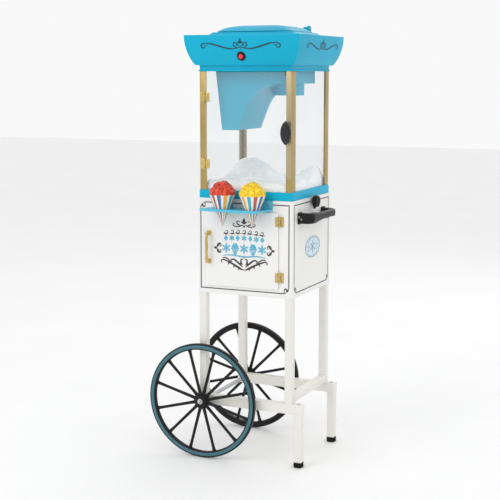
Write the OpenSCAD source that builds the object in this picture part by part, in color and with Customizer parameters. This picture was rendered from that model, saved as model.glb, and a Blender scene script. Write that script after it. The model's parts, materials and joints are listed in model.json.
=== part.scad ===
// Floor-standing shaved ice machine on a two-wheeled cart.
// +X is the side with the push handle, -Y is the front with the doors, +Z is up.
// Sizes are in millimetres. The origin is the bottom centre of the whole machine.

/* [Frame] */
// Width of the square frame tube
tube_w = 23; // [18:1:26]
// Wall of the frame tube
tube_wall = 1.5; // [1:0.5:2.5]
// Height of the long rails
rail_h = 27; // [24:1:30]
// How far the rails run past the cabinet on the handle side
rail_overhang = 28; // [26:1:40]
// Height of the rubber feet
foot_h = 15; // [10:1:20]

/* [Wheels] */
// Outer radius of a wheel
wheel_r = 165; // [150:1:170]
// Radial width of the rim
rim_w = 18; // [14:1:24]
// Number of spokes in a wheel
spoke_count = 12; // [8:1:16]
// Radius of the wheel axle
axle_r = 6; // [5:0.5:7]
// Running clearance of shafts and pins
run_gap = 0.05; // [0.02:0.01:0.1]

/* [Cabinet] */
// Outer width of the cabinet
cab_w = 284; // [280:1:290]
// Outer depth of the cabinet
cab_d = 282; // [280:1:290]
// Height of the cabinet's underside above the floor
cab_z = 474; // [460:1:480]
// Height of the cabinet
cab_h = 267; // [260:1:270]
// Sheet thickness of the cabinet
sheet = 2; // [1.5:0.5:2.5]

/* [Display case] */
// Outer width of the case
case_w = 272; // [268:1:274]
// Outer depth of the case
case_d = 280; // [276:1:282]
// Height of the blue deck under the case
deck_h = 23; // [20:1:26]
// Height of the glazed case
case_h = 324; // [300:1:340]
// Thickness of the clear panes
pane_t = 3; // [2:0.5:4]
// Height of the front sill that holds the snow back
sill_h = 35; // [20:1:35]

/* [Canopy] */
// Height of the trim between case and canopy
trim_h = 19; // [15:1:24]
// Height of the canopy up to its rim
canopy_h = 78; // [70:1:90]
// How far the canopy flares out on each side
canopy_flare = 20.7; // [10:0.1:24]
// Rise of the ice lid's dome
lid_rise = 19.4; // [12:0.1:24]

/* [Cone shelf] */
// Radius of a paper cone's rim
cone_rim_r = 36.5; // [34:0.5:36.5]
// Distance between the two cones
cone_pitch = 89; // [84:1:94]

/* [Hidden] */
$fn = 64;
eps = 1;
touch_gap = 0.3;

// Plan half sizes
cab_x = cab_w / 2;
cab_y = cab_d / 2;
case_x = case_w / 2;
case_y = case_d / 2;
deck_x = cab_x - 2.5;
leg_x = cab_x - tube_w / 2;
leg_y = cab_y - tube_w / 2;
rail_x = cab_x + rail_overhang;
lower_leg_x = rail_x - tube_w / 2;

// Heights
axle_z = wheel_r;
rail_top = axle_z + rail_h / 2;
rail_bottom = axle_z - rail_h / 2;
cab_top = cab_z + cab_h;
deck_top = cab_top + deck_h;
case_top = deck_top + case_h;
canopy_z = case_top + trim_h;
rim_z = canopy_z + canopy_h;

// Wheels
axle_x = -125;
wheel_y = 160;
rim_t = 16;
hub_inner_y = 144;
hub_outer_y = 172;
axle_cap_y = 181;
axle_cap_r = 8;

// Push handle
handle_out_x = cab_x + 45;
handle_y = [-106, 86];
handle_z = 692;
grip_r = 11;

// Cone shelf and cones
cone_x = [-48, -48 + cone_pitch];
cone_y = -181.5;
cone_rim_z = 757;
cone_slope = 0.41;
shelf_top = 718;
shelf_t = 4;
cup_bottom = 712;

// Place of the machine in its own frame: the bottom centre of the whole box
x_low = axle_x - wheel_r;
y_low = cone_y - cone_rim_r;
origin_x = -(x_low + handle_out_x) / 2;
origin_y = -(y_low + axle_cap_y) / 2;

// Doors
case_hinge = [-120, -146.2];
case_hinge_z = [case_top - 69.5, deck_top + 72];
storage_hinge = [104.8, -145.8];
storage_hinge_z = [684.5, 531];
hinge_h = 28;
knuckle_r = 3;
pin_r = 1.5;

// Shaving mechanism
disc_centre = [0, -5];
motor_centre = [68, 0];
hopper_r = 84.5;
shaft_r = 5;
motor_shaft_r = 4;
belt_z = 1064;
belt_h = 8;
big_pulley_r = 24;
small_pulley_r = 9;
chute_y = [-102, 60];
chute_bottom = 927;
chute_wall = 2.5;
plate_t = 3;
skin = 3;
plate_z = canopy_z + skin;

// Ice lid
lid_y = [-100, 94];
lid_half_x = 112;
collar_top = rim_z + 9;
lid_bottom = collar_top + 0.8;
lid_top = lid_bottom + lid_rise;
lid_hinge_y = 104;
lid_hinge_z = rim_z + 22;
lid_pin_r = 2.5;

// A rectangle with round corners, made only of squares and circles
module rounded_rect(w, d, r) {
  square([w - 2 * r, d], center = true);
  square([w, d - 2 * r], center = true);
  for (sx = [-1, 1], sy = [-1, 1])
    translate([sx * (w / 2 - r), sy * (d / 2 - r)]) circle(r);
}

// A box between two values on each axis
module block(x, y, z) {
  translate([x[0], y[0], z[0]]) cube([x[1] - x[0], y[1] - y[0], z[1] - z[0]]);
}

module rounded_block(x, y, z, r) {
  translate([(x[0] + x[1]) / 2, (y[0] + y[1]) / 2, z[0]])
    linear_extrude(z[1] - z[0]) rounded_rect(x[1] - x[0], y[1] - y[0], r);
}

// A round bar along X or Y, from a start point
module bar_x(p, length, r) { translate(p) rotate([0, 90, 0]) cylinder(h = length, r = r); }
module bar_y(p, length, r) { translate(p) rotate([-90, 0, 0]) cylinder(h = length, r = r); }

// A front-view outline (x, z) carried through from y[0] to y[1]
module carry_y(y) { translate([0, y[1], 0]) rotate([90, 0, 0]) linear_extrude(y[1] - y[0]) children(); }

// ---- Frame ----

module square_tube(length) {
  difference() {
    linear_extrude(length) rounded_rect(tube_w, tube_w, 4);
    translate([0, 0, -eps])
      linear_extrude(length + 2 * eps)
        rounded_rect(tube_w - 2 * tube_wall, tube_w - 2 * tube_wall, 2.5);
  }
}

module upper_leg(sx, sy) {
  color("ivory")
    translate([sx * leg_x, sy * leg_y, rail_top]) square_tube(cab_z - rail_top);
}

module leg_front_left() { upper_leg(-1, -1); }
module leg_front_right() { upper_leg(1, -1); }
module leg_rear_left() { upper_leg(-1, 1); }
module leg_rear_right() { upper_leg(1, 1); }

// A long rail: an open tube with the axle's holes near its rear end
module rail(side) {
  y = side * leg_y;
  color("ivory") difference() {
    block([-cab_x, rail_x], [y - tube_w / 2, y + tube_w / 2], [rail_bottom, rail_top]);
    block([-cab_x + tube_wall, rail_x - tube_wall],
          [y - tube_w / 2 + tube_wall, y + tube_w / 2 - tube_wall],
          [rail_bottom + tube_wall, rail_top - tube_wall]);
    bar_y([axle_x, y - tube_w, axle_z], 2 * tube_w, axle_r + run_gap);
  }
}

module rail_front() { rail(-1); }
module rail_rear() { rail(1); }

module cross_rail() {
  reach = cab_y - tube_w;
  color("ivory")
    translate([leg_x, -reach, rail_top + tube_w / 2])
      rotate([-90, 0, 0]) square_tube(2 * reach);
}

module lower_legs() {
  color("ivory") for (sy = [-1, 1])
    translate([lower_leg_x, sy * leg_y, foot_h]) square_tube(rail_bottom - foot_h);
}

module rubber_feet() {
  color("black") for (sy = [-1, 1])
    translate([lower_leg_x, sy * leg_y, 0]) linear_extrude(foot_h) rounded_rect(tube_w + 3, tube_w + 3, 9);
}

module wheel_axle() {
  half = axle_cap_y - 3;
  color("silver") bar_y([axle_x, -half, axle_z], 2 * half, axle_r);
}

// An end cap outside each hub and a washer inside it
module axle_caps() {
  color("silver") for (side = [0, 1]) mirror([0, side, 0]) {
    difference() {
      bar_y([axle_x, hub_outer_y + touch_gap, axle_z], axle_cap_y - hub_outer_y - touch_gap, axle_cap_r);
      bar_y([axle_x, hub_outer_y, axle_z], axle_cap_y - 3 - hub_outer_y, axle_r);
    }
    difference() {
      bar_y([axle_x, cab_y, axle_z], hub_inner_y - cab_y - touch_gap, 10);
      bar_y([axle_x, cab_y - eps, axle_z], 2 * eps + 3, axle_r);
    }
  }
}

// Button-head bolt standing on a surface that faces along the given rotation
module bolt_head(r, h) { cylinder(h = h, r = r); }

module frame_bolts() {
  shelf_tab_x = [-75, 70];
  handle_screws = [[cab_x + 5.5, handle_z + 4], [cab_x + 12, handle_z - 2]];
  color("silver") {
    for (sy = [-1, 1]) translate([rail_x - 12, sy * leg_y, rail_top]) bolt_head(4.5, 2.5);
    for (p = handle_screws)
      translate([p[0], handle_y[0] - 2, p[1]]) rotate([90, 0, 0]) bolt_head(2.8, 2);
    for (x = shelf_tab_x)
      translate([x, -cab_y - 2, shelf_top + 13]) rotate([90, 0, 0]) bolt_head(3, 1.5);
  }
}

// ---- Wheels ----

module spoked_wheel(side) {
  inner_r = wheel_r - rim_w;
  color("black") translate([axle_x, side * wheel_y, axle_z]) rotate([90, 0, 0]) difference() {
    union() {
      rotate_extrude($fn = 96) translate([wheel_r - rim_w / 2, 0]) rounded_rect(rim_w, rim_t, 4);
      for (i = [0 : spoke_count - 1])
        rotate(360 / spoke_count * (i + 0.5)) translate([12, -4.5, -3]) cube([inner_r - 10, 9, 6]);
      translate([0, 0, side > 0 ? wheel_y - hub_outer_y : hub_inner_y - wheel_y])
        cylinder(h = hub_outer_y - hub_inner_y, r = 18);
      translate([0, 0, -5]) cylinder(h = 10, r = 24);
    }
    translate([0, 0, -20]) cylinder(h = 40, r = axle_r + run_gap);
  }
}

module wheel_front() { spoked_wheel(-1); }
module wheel_rear() { spoked_wheel(1); }

// ---- Cabinet ----

flange = 15;

module cabinet_floor() {
  color("white") difference() {
    block([-cab_x + sheet + 0.2, cab_x - sheet - 0.2], [-cab_y + sheet + 0.2, cab_y - sheet - 0.2],
          [cab_z + sheet, cab_z + 2 * sheet]);
    for (sx = [-1, 1], sy = [-1, 1]) translate([sx * 124, sy * 123, cab_z]) cylinder(h = 9, r = 3);
  }
}

// A side panel: a web with a flange turned inwards at the top and the bottom
module side_panel_blank(side) {
  y = [-cab_y + sheet, cab_y - sheet];
  mirror([side < 0 ? 1 : 0, 0, 0]) {
    block([cab_x - sheet, cab_x], y, [cab_z, cab_top]);
    for (z = [cab_z, cab_top - sheet]) block([cab_x - flange, cab_x - sheet], y, [z, z + sheet]);
  }
}

module cabinet_left_panel() { color("white") side_panel_blank(-1); }

module cabinet_right_panel() {
  color("white") difference() {
    side_panel_blank(1);
    bar_x([cab_x - 10, 0, drain_z], 20, spout_r + touch_gap);
  }
}

module cabinet_back_panel() {
  color("white") difference() {
    block([-cab_x, cab_x], [cab_y - sheet, cab_y], [cab_z, cab_top]);
    for (i = [0 : 4]) block([-60, 60], [cab_y - 5, cab_y + 5], [650 + 12 * i, 655 + 12 * i]);
  }
}

door_open_x = [-110, 95];
door_open_z = [504, 702];

module cabinet_front_frame() {
  color("white") difference() {
    block([-cab_x, cab_x], [-cab_y, -cab_y + sheet], [cab_z, cab_top]);
    block(door_open_x, [-cab_y - 5, -cab_y + 5], door_open_z);
  }
}

// ---- Deck and drain ----

pan_wall = 7;
pan_floor = 5;
drain_x = 112;
drain_z = 729.5;
spout_r = 9;
spout_bore_r = 6.5;

module deck_tray() {
  color("deepskyblue") difference() {
    rounded_block([-deck_x, deck_x], [-cab_y, cab_y], [cab_top, deck_top], 4);
    block([-case_x + pan_wall, case_x - pan_wall], [-case_y + pan_wall, case_y - pan_wall],
          [cab_top + pan_floor, deck_top + eps]);
    translate([drain_x, 0, cab_top - eps]) cylinder(h = 20, r = spout_bore_r);
  }
}

// An elbow from the pan's drain hole through the right panel
module drain_spout() {
  color("dimgray") difference() {
    union() {
      translate([drain_x, 0, drain_z - spout_r]) cylinder(h = cab_top - drain_z + spout_r, r = spout_r);
      bar_x([drain_x, 0, drain_z], 45, spout_r);
    }
    translate([drain_x, 0, drain_z]) cylinder(h = 30, r = spout_bore_r);
    bar_x([drain_x, 0, drain_z], 60, spout_bore_r);
  }
}

module drain_cap() {
  color("black") difference() {
    union() {
      bar_x([148, 0, drain_z], 14, 16.5);
      block([149, 156], [-12, -3], [drain_z - 20, drain_z - 8]);
    }
    bar_x([140, 0, drain_z], 18, spout_r + run_gap);
  }
}

// ---- Cone shelf, cups and ice ----

shelf_outline = [[-90, -cab_y], [-108, -202], [66, -212], [76.6, -192], [84, -cab_y]];

module cone_shelf() {
  color("lightskyblue") difference() {
    union() {
      translate([0, 0, shelf_top - shelf_t]) linear_extrude(shelf_t) polygon(shelf_outline);
      translate([0, 0, shelf_top - 7]) linear_extrude(4)
        polygon([[-107.2, -199.4], [-108, -202], [66, -212], [67.3, -209.8]]);
      for (x = [[-90, -36], [50, 84]]) block(x, [-cab_y - 2, -cab_y], [shelf_top - eps, cab_top]);
    }
    for (x = cone_x) translate([x, cone_y, shelf_top - 10]) cylinder(h = 20, r = cone_hole_r);
  }
}

function cone_r(z) = cone_rim_r - cone_slope * (cone_rim_z - z);
cone_hole_r = cone_r(shelf_top) + touch_gap;
cup_wall = 1;

module cup(x) {
  color("orange") translate([x, cone_y, 0]) difference() {
    translate([0, 0, cup_bottom])
      cylinder(h = cone_rim_z - cup_bottom, r1 = cone_r(cup_bottom), r2 = cone_rim_r);
    translate([0, 0, cup_bottom + 2])
      cylinder(h = cone_rim_z - cup_bottom - 2 + 0.01,
               r1 = cone_r(cup_bottom + 2) - cup_wall, r2 = cone_rim_r - cup_wall);
  }
}

// Ice that fills a cup and stands above it as a round mound
module ice(x) {
  mound_h = 38;
  r = cone_rim_r - cup_wall - 0.3;
  ball_r = (r * r + mound_h * mound_h) / (2 * mound_h);
  translate([x, cone_y, 0]) union() {
    translate([0, 0, cup_bottom + 2.2])
      cylinder(h = cone_rim_z - cup_bottom - 2.2, r1 = cone_r(cup_bottom + 2.2) - cup_wall - 0.3, r2 = r);
    intersection() {
      translate([0, 0, cone_rim_z + mound_h - ball_r]) sphere(ball_r);
      translate([0, 0, cone_rim_z - eps]) cylinder(h = 60, r = ball_r + 5);
    }
  }
}

module left_cup() { cup(cone_x[0]); }
module right_cup() { cup(cone_x[1]); }
module left_ice() { color("red") ice(cone_x[0]); }
module right_ice() { color("yellow") ice(cone_x[1]); }

// ---- Push handle ----

module push_handle() {
  grip_x = handle_out_x - grip_r;
  color("black") {
    bar_y([grip_x, handle_y[0] + 3, handle_z], handle_y[1] - handle_y[0] - 6, grip_r);
    for (y = [[handle_y[0], handle_y[0] + 18], [handle_y[1] - 16, handle_y[1]]]) {
      block([cab_x, grip_x], y, [handle_z - 11, handle_z + 11]);
      block([cab_x, cab_x + 16], [y[0] - 2, y[1] + 2], [handle_z - 16, handle_z + 16]);
    }
  }
}

// ---- Doors and hinges ----

// Knuckles of a hinge on a vertical pin; fixed ones outside, moving one between
module knuckle(centre, z0, h) {
  translate([centre[0], centre[1], z0]) difference() {
    cylinder(h = h, r = knuckle_r);
    translate([0, 0, -eps]) cylinder(h = h + 2 * eps, r = pin_r + run_gap);
  }
}

// Fixed half of a hinge: a leaf on the frame beside the pin, and the pin with its outer knuckles
module fixed_hinge(centre, z, leaf_x, leaf_y) {
  half = hinge_h / 2;
  s = sign(leaf_x - centre[0]);
  arm_x = centre[0] + s * 6;
  root_x = centre[0] + s * 4;
  for (z0 = [z - half, z + half - 8]) {
    translate([centre[0], centre[1], z0]) cylinder(h = 8, r = knuckle_r);
    block([min(centre[0], arm_x), max(centre[0], arm_x)], [centre[1] + 1, leaf_y], [z0, z0 + 8]);
  }
  block([min(root_x, leaf_x), max(root_x, leaf_x)], [leaf_y - 1.2, leaf_y], [z - half, z + half]);
  translate([centre[0], centre[1], z - half]) cylinder(h = hinge_h, r = pin_r);
}

// Moving half: the middle knuckle and a leaf that lies on the door's face
module moving_hinge(centre, z, leaf_x, face_y) {
  half = hinge_h / 2 - 8 - touch_gap;
  root_x = centre[0] + sign(leaf_x - centre[0]) * 4;
  y = [face_y - 1.2, face_y];
  knuckle(centre, z - half, 2 * half);
  difference() {
    block([min(centre[0], leaf_x), max(centre[0], leaf_x)], y, [z - half, z + half]);
    translate([centre[0], centre[1], z - 20]) cylinder(h = 40, r = pin_r + run_gap);
  }
  block([min(root_x, leaf_x), max(root_x, leaf_x)], y, [z - hinge_h / 2 + 1, z + hinge_h / 2 - 1]);
}

case_door_y = [-case_y - 1 - 3.5, -case_y - 1];
storage_door_y = [-cab_y - 5, -cab_y - touch_gap];

module fixed_hinge_leaves() {
  color("gold") {
    for (z = case_hinge_z) fixed_hinge(case_hinge, z, -134.5, -case_y);
    for (z = storage_hinge_z) fixed_hinge(storage_hinge, z, 116.5, -cab_y);
  }
}

module case_door_pane() {
  color("lightcyan", 0.4)
    block([case_hinge[0] + 3.6, 138], case_door_y, [deck_top + sill_h + 2, case_top - 2]);
}

module case_door_leaves() {
  color("gold") for (z = case_hinge_z) moving_hinge(case_hinge, z, -104.5, case_door_y[0]);
}

// A pointed-oval knob on a short neck
module case_door_knob() {
  centre = [126, 925];
  lens_r = 42;
  color("black") {
    translate([centre[0], case_door_y[0], centre[1]]) rotate([90, 0, 0]) cylinder(h = 6, r = 8);
    translate([0, case_door_y[0] - 5.5, 0]) rotate([90, 0, 0]) linear_extrude(9)
      intersection() {
        translate([centre[0] - lens_r + 15, centre[1]]) circle(lens_r);
        translate([centre[0] + lens_r - 15, centre[1]]) circle(lens_r);
      }
  }
}

module storage_door() {
  color("white")
    rounded_block([-117, 101], storage_door_y, [497, 708.5], 0.8);
}

module storage_door_leaves() {
  color("gold") for (z = storage_hinge_z) moving_hinge(storage_hinge, z, 93, storage_door_y[0]);
}

// A bow handle: two feet on the door and a bar that stands off it
module storage_door_pull() {
  x = -107;
  bar_y0 = storage_door_y[0] - 17;
  z = [566, 645];
  color("gold") {
    for (zf = z) {
      translate([x, storage_door_y[0], zf]) rotate([90, 0, 0]) cylinder(h = 3, r = 8);
      translate([x, storage_door_y[0], zf]) rotate([90, 0, 0]) cylinder(h = 17, r = 3.5);
    }
    translate([x, bar_y0, z[0] - 4]) cylinder(h = z[1] - z[0] + 8, r = 4);
  }
}

// Magnetic catches behind the free edge of each door
module door_magnets() {
  color("dimgray") {
    block([-137.5, -111], [-cab_y + sheet, -cab_y + sheet + 10], [600, 625]);
    block([114, 130], [-case_y + 5, -case_y + 15], [case_top - 12, case_top]);
  }
}

// ---- Glazed case ----

post_t = 2;

// An angle post: one leaf in the front or back plane and one in the side plane
module angle_post(sx, sy, face_w, side_w) {
  color("darkkhaki") mirror([sx < 0 ? 1 : 0, 0, 0]) mirror([0, sy < 0 ? 1 : 0, 0]) {
    block([case_x - face_w, case_x], [case_y - post_t, case_y], [deck_top, case_top]);
    block([case_x - post_t, case_x], [case_y - side_w, case_y], [deck_top, case_top]);
  }
}

module post_front_left() { angle_post(-1, -1, 20, 32); }
module post_front_right() { angle_post(1, -1, 15, 32); }
module rear_posts() { for (sx = [-1, 1]) angle_post(sx, 1, 14, 26); }

pane_in = post_t + pane_t;

module side_pane(side) {
  x = [case_x - pane_in, case_x - post_t];
  color("lightcyan", 0.4) mirror([side < 0 ? 1 : 0, 0, 0])
    block(x, [-case_y + post_t, case_y - pane_in], [deck_top, case_top]);
}

module left_pane() { side_pane(-1); }
module right_pane() { side_pane(1); }

module rear_pane() {
  color("lightcyan", 0.4)
    block([-case_x + post_t, case_x - post_t], [case_y - pane_in, case_y - post_t], [deck_top, case_top]);
}

module front_sill() {
  x = case_x - pane_in;
  color("lightcyan", 0.4)
    block([-x, x], [-case_y + post_t, -case_y + post_t + pane_t], [deck_top, deck_top + sill_h]);
}

module snow_heap() {
  inner_x = case_x - pan_wall - 1;
  inner_y = case_y - pan_wall - 1;
  floor_z = cab_top + pan_floor + 0.2;
  color("white") intersection() {
    block([-inner_x, inner_x], [-inner_y, inner_y], [floor_z, 860]);
    union() {
      block([-inner_x, inner_x], [-inner_y, inner_y], [floor_z, 788]);
      translate([-30, 0, 842 - 220]) sphere(220, $fn = 96);
      translate([95, 75, 832 - 110]) sphere(110);
    }
  }
}

// ---- Top: trim, plate, canopy ----

module upper_trim() {
  z = [case_top, case_top + 4, canopy_z];
  color("deepskyblue") difference() {
    union() {
      rounded_block([-case_x - 3, case_x + 3], [-case_y - 3, case_y + 3], [z[0], z[1]], 4);
      rounded_block([-case_x - 1, case_x + 1], [-case_y - 1, case_y + 1], [z[1] - eps, z[2]], 4);
    }
    block([-case_x + 8, case_x - 8], [-case_y + 8, case_y - 8], [z[0] - eps, z[2] + eps]);
  }
}

plate_x = case_x + 8;
plate_y = case_y + 8;

module mechanism_plate() {
  color("silver") difference() {
    block([-plate_x, plate_x], [-plate_y, plate_y], [plate_z, plate_z + plate_t]);
    intersection() {
      block([-103, -34], [-96, 55], [plate_z - eps, plate_z + 10]);
      translate([disc_centre[0], disc_centre[1], plate_z - eps]) cylinder(h = 20, r = hopper_r - 3);
    }
    translate([disc_centre[0], disc_centre[1], plate_z - eps]) cylinder(h = 10, r = shaft_r + run_gap);
  }
}

// Side profile of the canopy: an arc that ends upright at the rim
arc_r = (canopy_h * canopy_h + canopy_flare * canopy_flare) / (2 * canopy_flare);
rim_x = case_x + 12.3 + canopy_flare;
rim_y = case_y + 12.3 + canopy_flare;

module flare_profile(half, inset) {
  intersection() {
    translate([-200, canopy_z]) square([400, canopy_h]);
    union() {
      for (s = [-1, 1]) translate([s * (half - arc_r), rim_z]) circle(arc_r - inset);
      translate([-half + arc_r, canopy_z - 10]) square([2 * (half - arc_r), canopy_h + 20]);
    }
  }
}

// The flared block that the canopy is cut from
module flared_block(inset) {
  intersection() {
    rotate([90, 0, 0]) linear_extrude(400, center = true) flare_profile(rim_x, inset);
    rotate([90, 0, 90]) linear_extrude(400, center = true) flare_profile(rim_y, inset);
  }
}

collar_x = 125;
collar_y = [-105, 94.5];
button_z = 1128;
gland_x = 60;
wall_drop = rim_z - button_z;
wall_tilt = asin(wall_drop / arc_r);

// A place on the sloped front wall (or, mirrored, the rear wall); +Z points out of the wall
module on_wall(x, rear) {
  mirror([0, rear ? 1 : 0, 0])
    translate([x, -(rim_y - arc_r) - sqrt(arc_r * arc_r - wall_drop * wall_drop), button_z])
      rotate([90 + wall_tilt, 0, 0]) children();
}

module canopy() {
  foot_x = case_x - 8;
  foot_y = case_y - 8;
  color("deepskyblue") difference() {
    union() {
      flared_block(0);
      rounded_block([-collar_x, collar_x], collar_y, [rim_z - skin, collar_top], 20);
    }
    intersection() {
      flared_block(skin);
      block([-300, 300], [-300, 300], [plate_z, rim_z - skin]);
    }
    block([-foot_x, foot_x], [-foot_y, foot_y], [canopy_z - eps, plate_z + eps]);
    rounded_block([-collar_x + skin, collar_x - skin], [collar_y[0] + skin, collar_y[1] - skin],
                  [rim_z - 10, collar_top - skin], 17);
    translate([disc_centre[0], disc_centre[1], rim_z - 20]) cylinder(h = 60, r = hopper_r + 4);
    on_wall(0, false) translate([0, 0, -20]) cylinder(h = 40, r = bezel_r + 0.2);
    on_wall(gland_x, true) translate([0, 0, -20]) cylinder(h = 40, r = gland_r + 0.2);
  }
}

bezel_r = 9;
button_r = 7;

module button_bezel() {
  color("black") on_wall(0, false) difference() {
    union() {
      translate([0, 0, 0.2]) cylinder(h = 3, r = 12.5);
      translate([0, 0, -20]) cylinder(h = 21, r = bezel_r);
    }
    translate([0, 0, -12]) cylinder(h = 20, r = button_r + run_gap);
  }
}

module push_button() {
  color("red") on_wall(0, false) translate([0, 0, -7]) cylinder(h = 13.5, r = button_r);
}

gland_r = 6;

module cord_gland() {
  color("black") on_wall(gland_x, true) difference() {
    union() {
      translate([0, 0, 0.2]) cylinder(h = 4, r = 10, $fn = 6);
      translate([0, 0, -12]) cylinder(h = 20, r = gland_r);
    }
    translate([0, 0, -20]) cylinder(h = 40, r = 3.5);
  }
}

// ---- Shaving mechanism ----

module ice_hopper() {
  color("lightgray") translate([disc_centre[0], disc_centre[1], plate_z + plate_t]) difference() {
    cylinder(h = collar_top - 1 - plate_z - plate_t, r = hopper_r + 3.5);
    translate([0, 0, -eps]) cylinder(h = 200, r = hopper_r);
  }
}

disc_z = plate_z + plate_t + 2.5;

module shaver_disc() {
  color("silver") translate([disc_centre[0], disc_centre[1], 0]) {
    difference() {
      translate([0, 0, disc_z]) cylinder(h = 4, r = hopper_r - 1.5);
      for (a = [0, 180]) rotate(a) translate([-76, -4, disc_z - eps]) cube([58, 8, 6]);
    }
    for (a = [0, 180]) rotate(a) translate([-76.5, -4.5, disc_z + 2.5]) cube([59, 6.5, 2.5]);
    translate([0, 0, belt_z - 3]) cylinder(h = disc_z + 14 - belt_z, r = shaft_r);
    translate([0, 0, disc_z + 3]) cylinder(h = 6, r = 12);
  }
}

// A pulley with a flange on each side of the belt
module pulley(seat_r, bore_r) {
  difference() {
    union() {
      translate([0, 0, belt_z - 0.5]) cylinder(h = belt_h + 1, r = seat_r);
      for (z = [belt_z - 2, belt_z + belt_h + 0.5]) translate([0, 0, z]) cylinder(h = 1.5, r = seat_r + 3);
    }
    translate([0, 0, belt_z - 5]) cylinder(h = 30, r = bore_r);
  }
}

module drive_pulley() {
  color("gray") translate([disc_centre[0], disc_centre[1], 0]) pulley(big_pulley_r, shaft_r);
}

module motor_pulley() {
  color("gray") translate([motor_centre[0], motor_centre[1], 0]) {
    pulley(small_pulley_r, 1);
    translate([0, 0, belt_z - 14]) cylinder(h = 16 + belt_h, r = motor_shaft_r);
  }
}

// The outline of a belt loop: two round ends and the straight runs between them
module belt_block(extra, z, h) {
  d = norm(motor_centre - disc_centre);
  s = (big_pulley_r - small_pulley_r) / d;
  c = sqrt(1 - s * s);
  big = big_pulley_r + extra;
  small = small_pulley_r + extra;
  big_run = big - 0.03;
  small_run = small - 0.03;
  translate([0, 0, z]) {
    cylinder(h = h, r = big);
    translate([d, 0, 0]) cylinder(h = h, r = small);
    linear_extrude(h)
      polygon([[big_run * s, big_run * c], [d + small_run * s, small_run * c],
               [d + small_run * s, -small_run * c], [big_run * s, -big_run * c]]);
  }
}

module drive_belt() {
  turn = atan2(motor_centre[1] - disc_centre[1], motor_centre[0] - disc_centre[0]);
  color("black") translate([disc_centre[0], disc_centre[1], belt_z]) rotate(turn) difference() {
    belt_block(touch_gap + 1.5, 0, belt_h);
    belt_block(touch_gap, -eps, belt_h + 2 * eps);
  }
}

motor_z = 1024.5;

module motor() {
  color("silver") translate([motor_centre[0], motor_centre[1], 0]) difference() {
    union() {
      translate([0, 0, motor_z]) cylinder(h = 29, r = 36);
      translate([0, 0, motor_z + 28]) cylinder(h = 4, r = 12);
    }
    translate([0, 0, belt_z - 15]) cylinder(h = 30, r = motor_shaft_r + run_gap);
  }
}

// Lower right side of the chute: a straight slope, then part of a circle
chute_curve_c = [86, 942.5];
chute_curve_r = [112, 111.9];
chute_right = 62;
function chute_curve(grow, a0, a1, n) =
  [for (i = [0 : n]) let (a = a0 + (a1 - a0) * i / n)
    [chute_curve_c[0] - (chute_curve_r[0] + grow) * cos(a),
     chute_curve_c[1] + (chute_curve_r[1] + grow) * sin(a)]];
chute_outline = concat(
  [[-108, plate_z], [-87, chute_bottom], [-40.5, chute_bottom]],
  chute_curve(0, 24, 77.6, 10),
  [[chute_right, plate_z]]);

module snow_chute() {
  partition = -34;
  color("deepskyblue") difference() {
    carry_y(chute_y) polygon(chute_outline);
    carry_y([chute_y[0] + chute_wall, chute_y[1] - chute_wall])
      polygon([[-108 + chute_wall, plate_z + eps], [-87 + chute_wall, chute_bottom - eps],
               [-43.6, chute_bottom - eps], [partition - 1, 951], [partition, plate_z + eps]]);
    carry_y([chute_y[0] + chute_wall, chute_y[1] - chute_wall])
      polygon(concat([[partition + chute_wall, plate_z + eps], [partition + chute_wall, 966]],
                     chute_curve(chute_wall, 24, 82, 8), [[70, plate_z + eps]]));
    translate([motor_centre[0], motor_centre[1], 1000]) cylinder(h = 56.5, r = 37);
  }
}

cover_z = 1054;
cup_z = 1022;

// Box round the belt drive with a round cup under it for the motor
module drive_cover() {
  w = chute_wall;
  left = chute_right + 0.1;
  right = 113.5;
  rear = 88;
  color("deepskyblue") difference() {
    union() {
      block([left, right], [chute_y[0], rear], [cover_z, plate_z]);
      translate([motor_centre[0], motor_centre[1], cup_z]) cylinder(h = cover_z + 2 - cup_z, r = 45);
    }
    block([left - 5, right - w], [chute_y[0] + w, chute_y[1] - w], [cover_z + w, plate_z + eps]);
    block([left + w, right - w], [chute_y[0] + w, rear - w], [cover_z + w, plate_z + eps]);
    translate([motor_centre[0], motor_centre[1], cup_z + w]) cylinder(h = 60, r = 45 - w);
    carry_y([chute_y[0] - 5, chute_y[1] + 0.1]) polygon(concat(
      [[-60, plate_z], [-40, 940]], chute_curve(-0.2, 24, 77.6, 10), [[left, plate_z]]));
  }
}

// ---- Ice lid ----

dome_r = 560;

module lid_solid(inset) {
  x = [-lid_half_x + inset, lid_half_x - inset];
  y = [lid_y[0] + inset, lid_y[1] - inset];
  z0 = lid_bottom - (inset > 0 ? eps : 0);
  intersection() {
    rounded_block(x, y, [z0, lid_top + 10], 30 - inset);
    translate([0, (lid_y[0] + lid_y[1]) / 2, lid_top - dome_r]) sphere(dome_r - inset, $fn = 128);
  }
}

lid_arm_x = [72, 83.7];

module ice_lid() {
  color("deepskyblue") {
    difference() {
      union() {
        lid_solid(0);
        rounded_block([-lid_half_x, lid_half_x], lid_y, [lid_bottom, lid_bottom + 3], 30);
      }
      lid_solid(2.5);
    }
    for (side = [0, 1]) mirror([side, 0, 0]) difference() {
      union() {
        bar_x([lid_arm_x[0], lid_hinge_y, lid_hinge_z], lid_arm_x[1] - lid_arm_x[0], 6);
        block(lid_arm_x, [lid_y[1] - 2, lid_hinge_y], [lid_bottom + 0.5, lid_hinge_z]);
      }
      bar_x([lid_arm_x[0] - eps, lid_hinge_y, lid_hinge_z], 20, lid_pin_r + run_gap);
    }
  }
}

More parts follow.
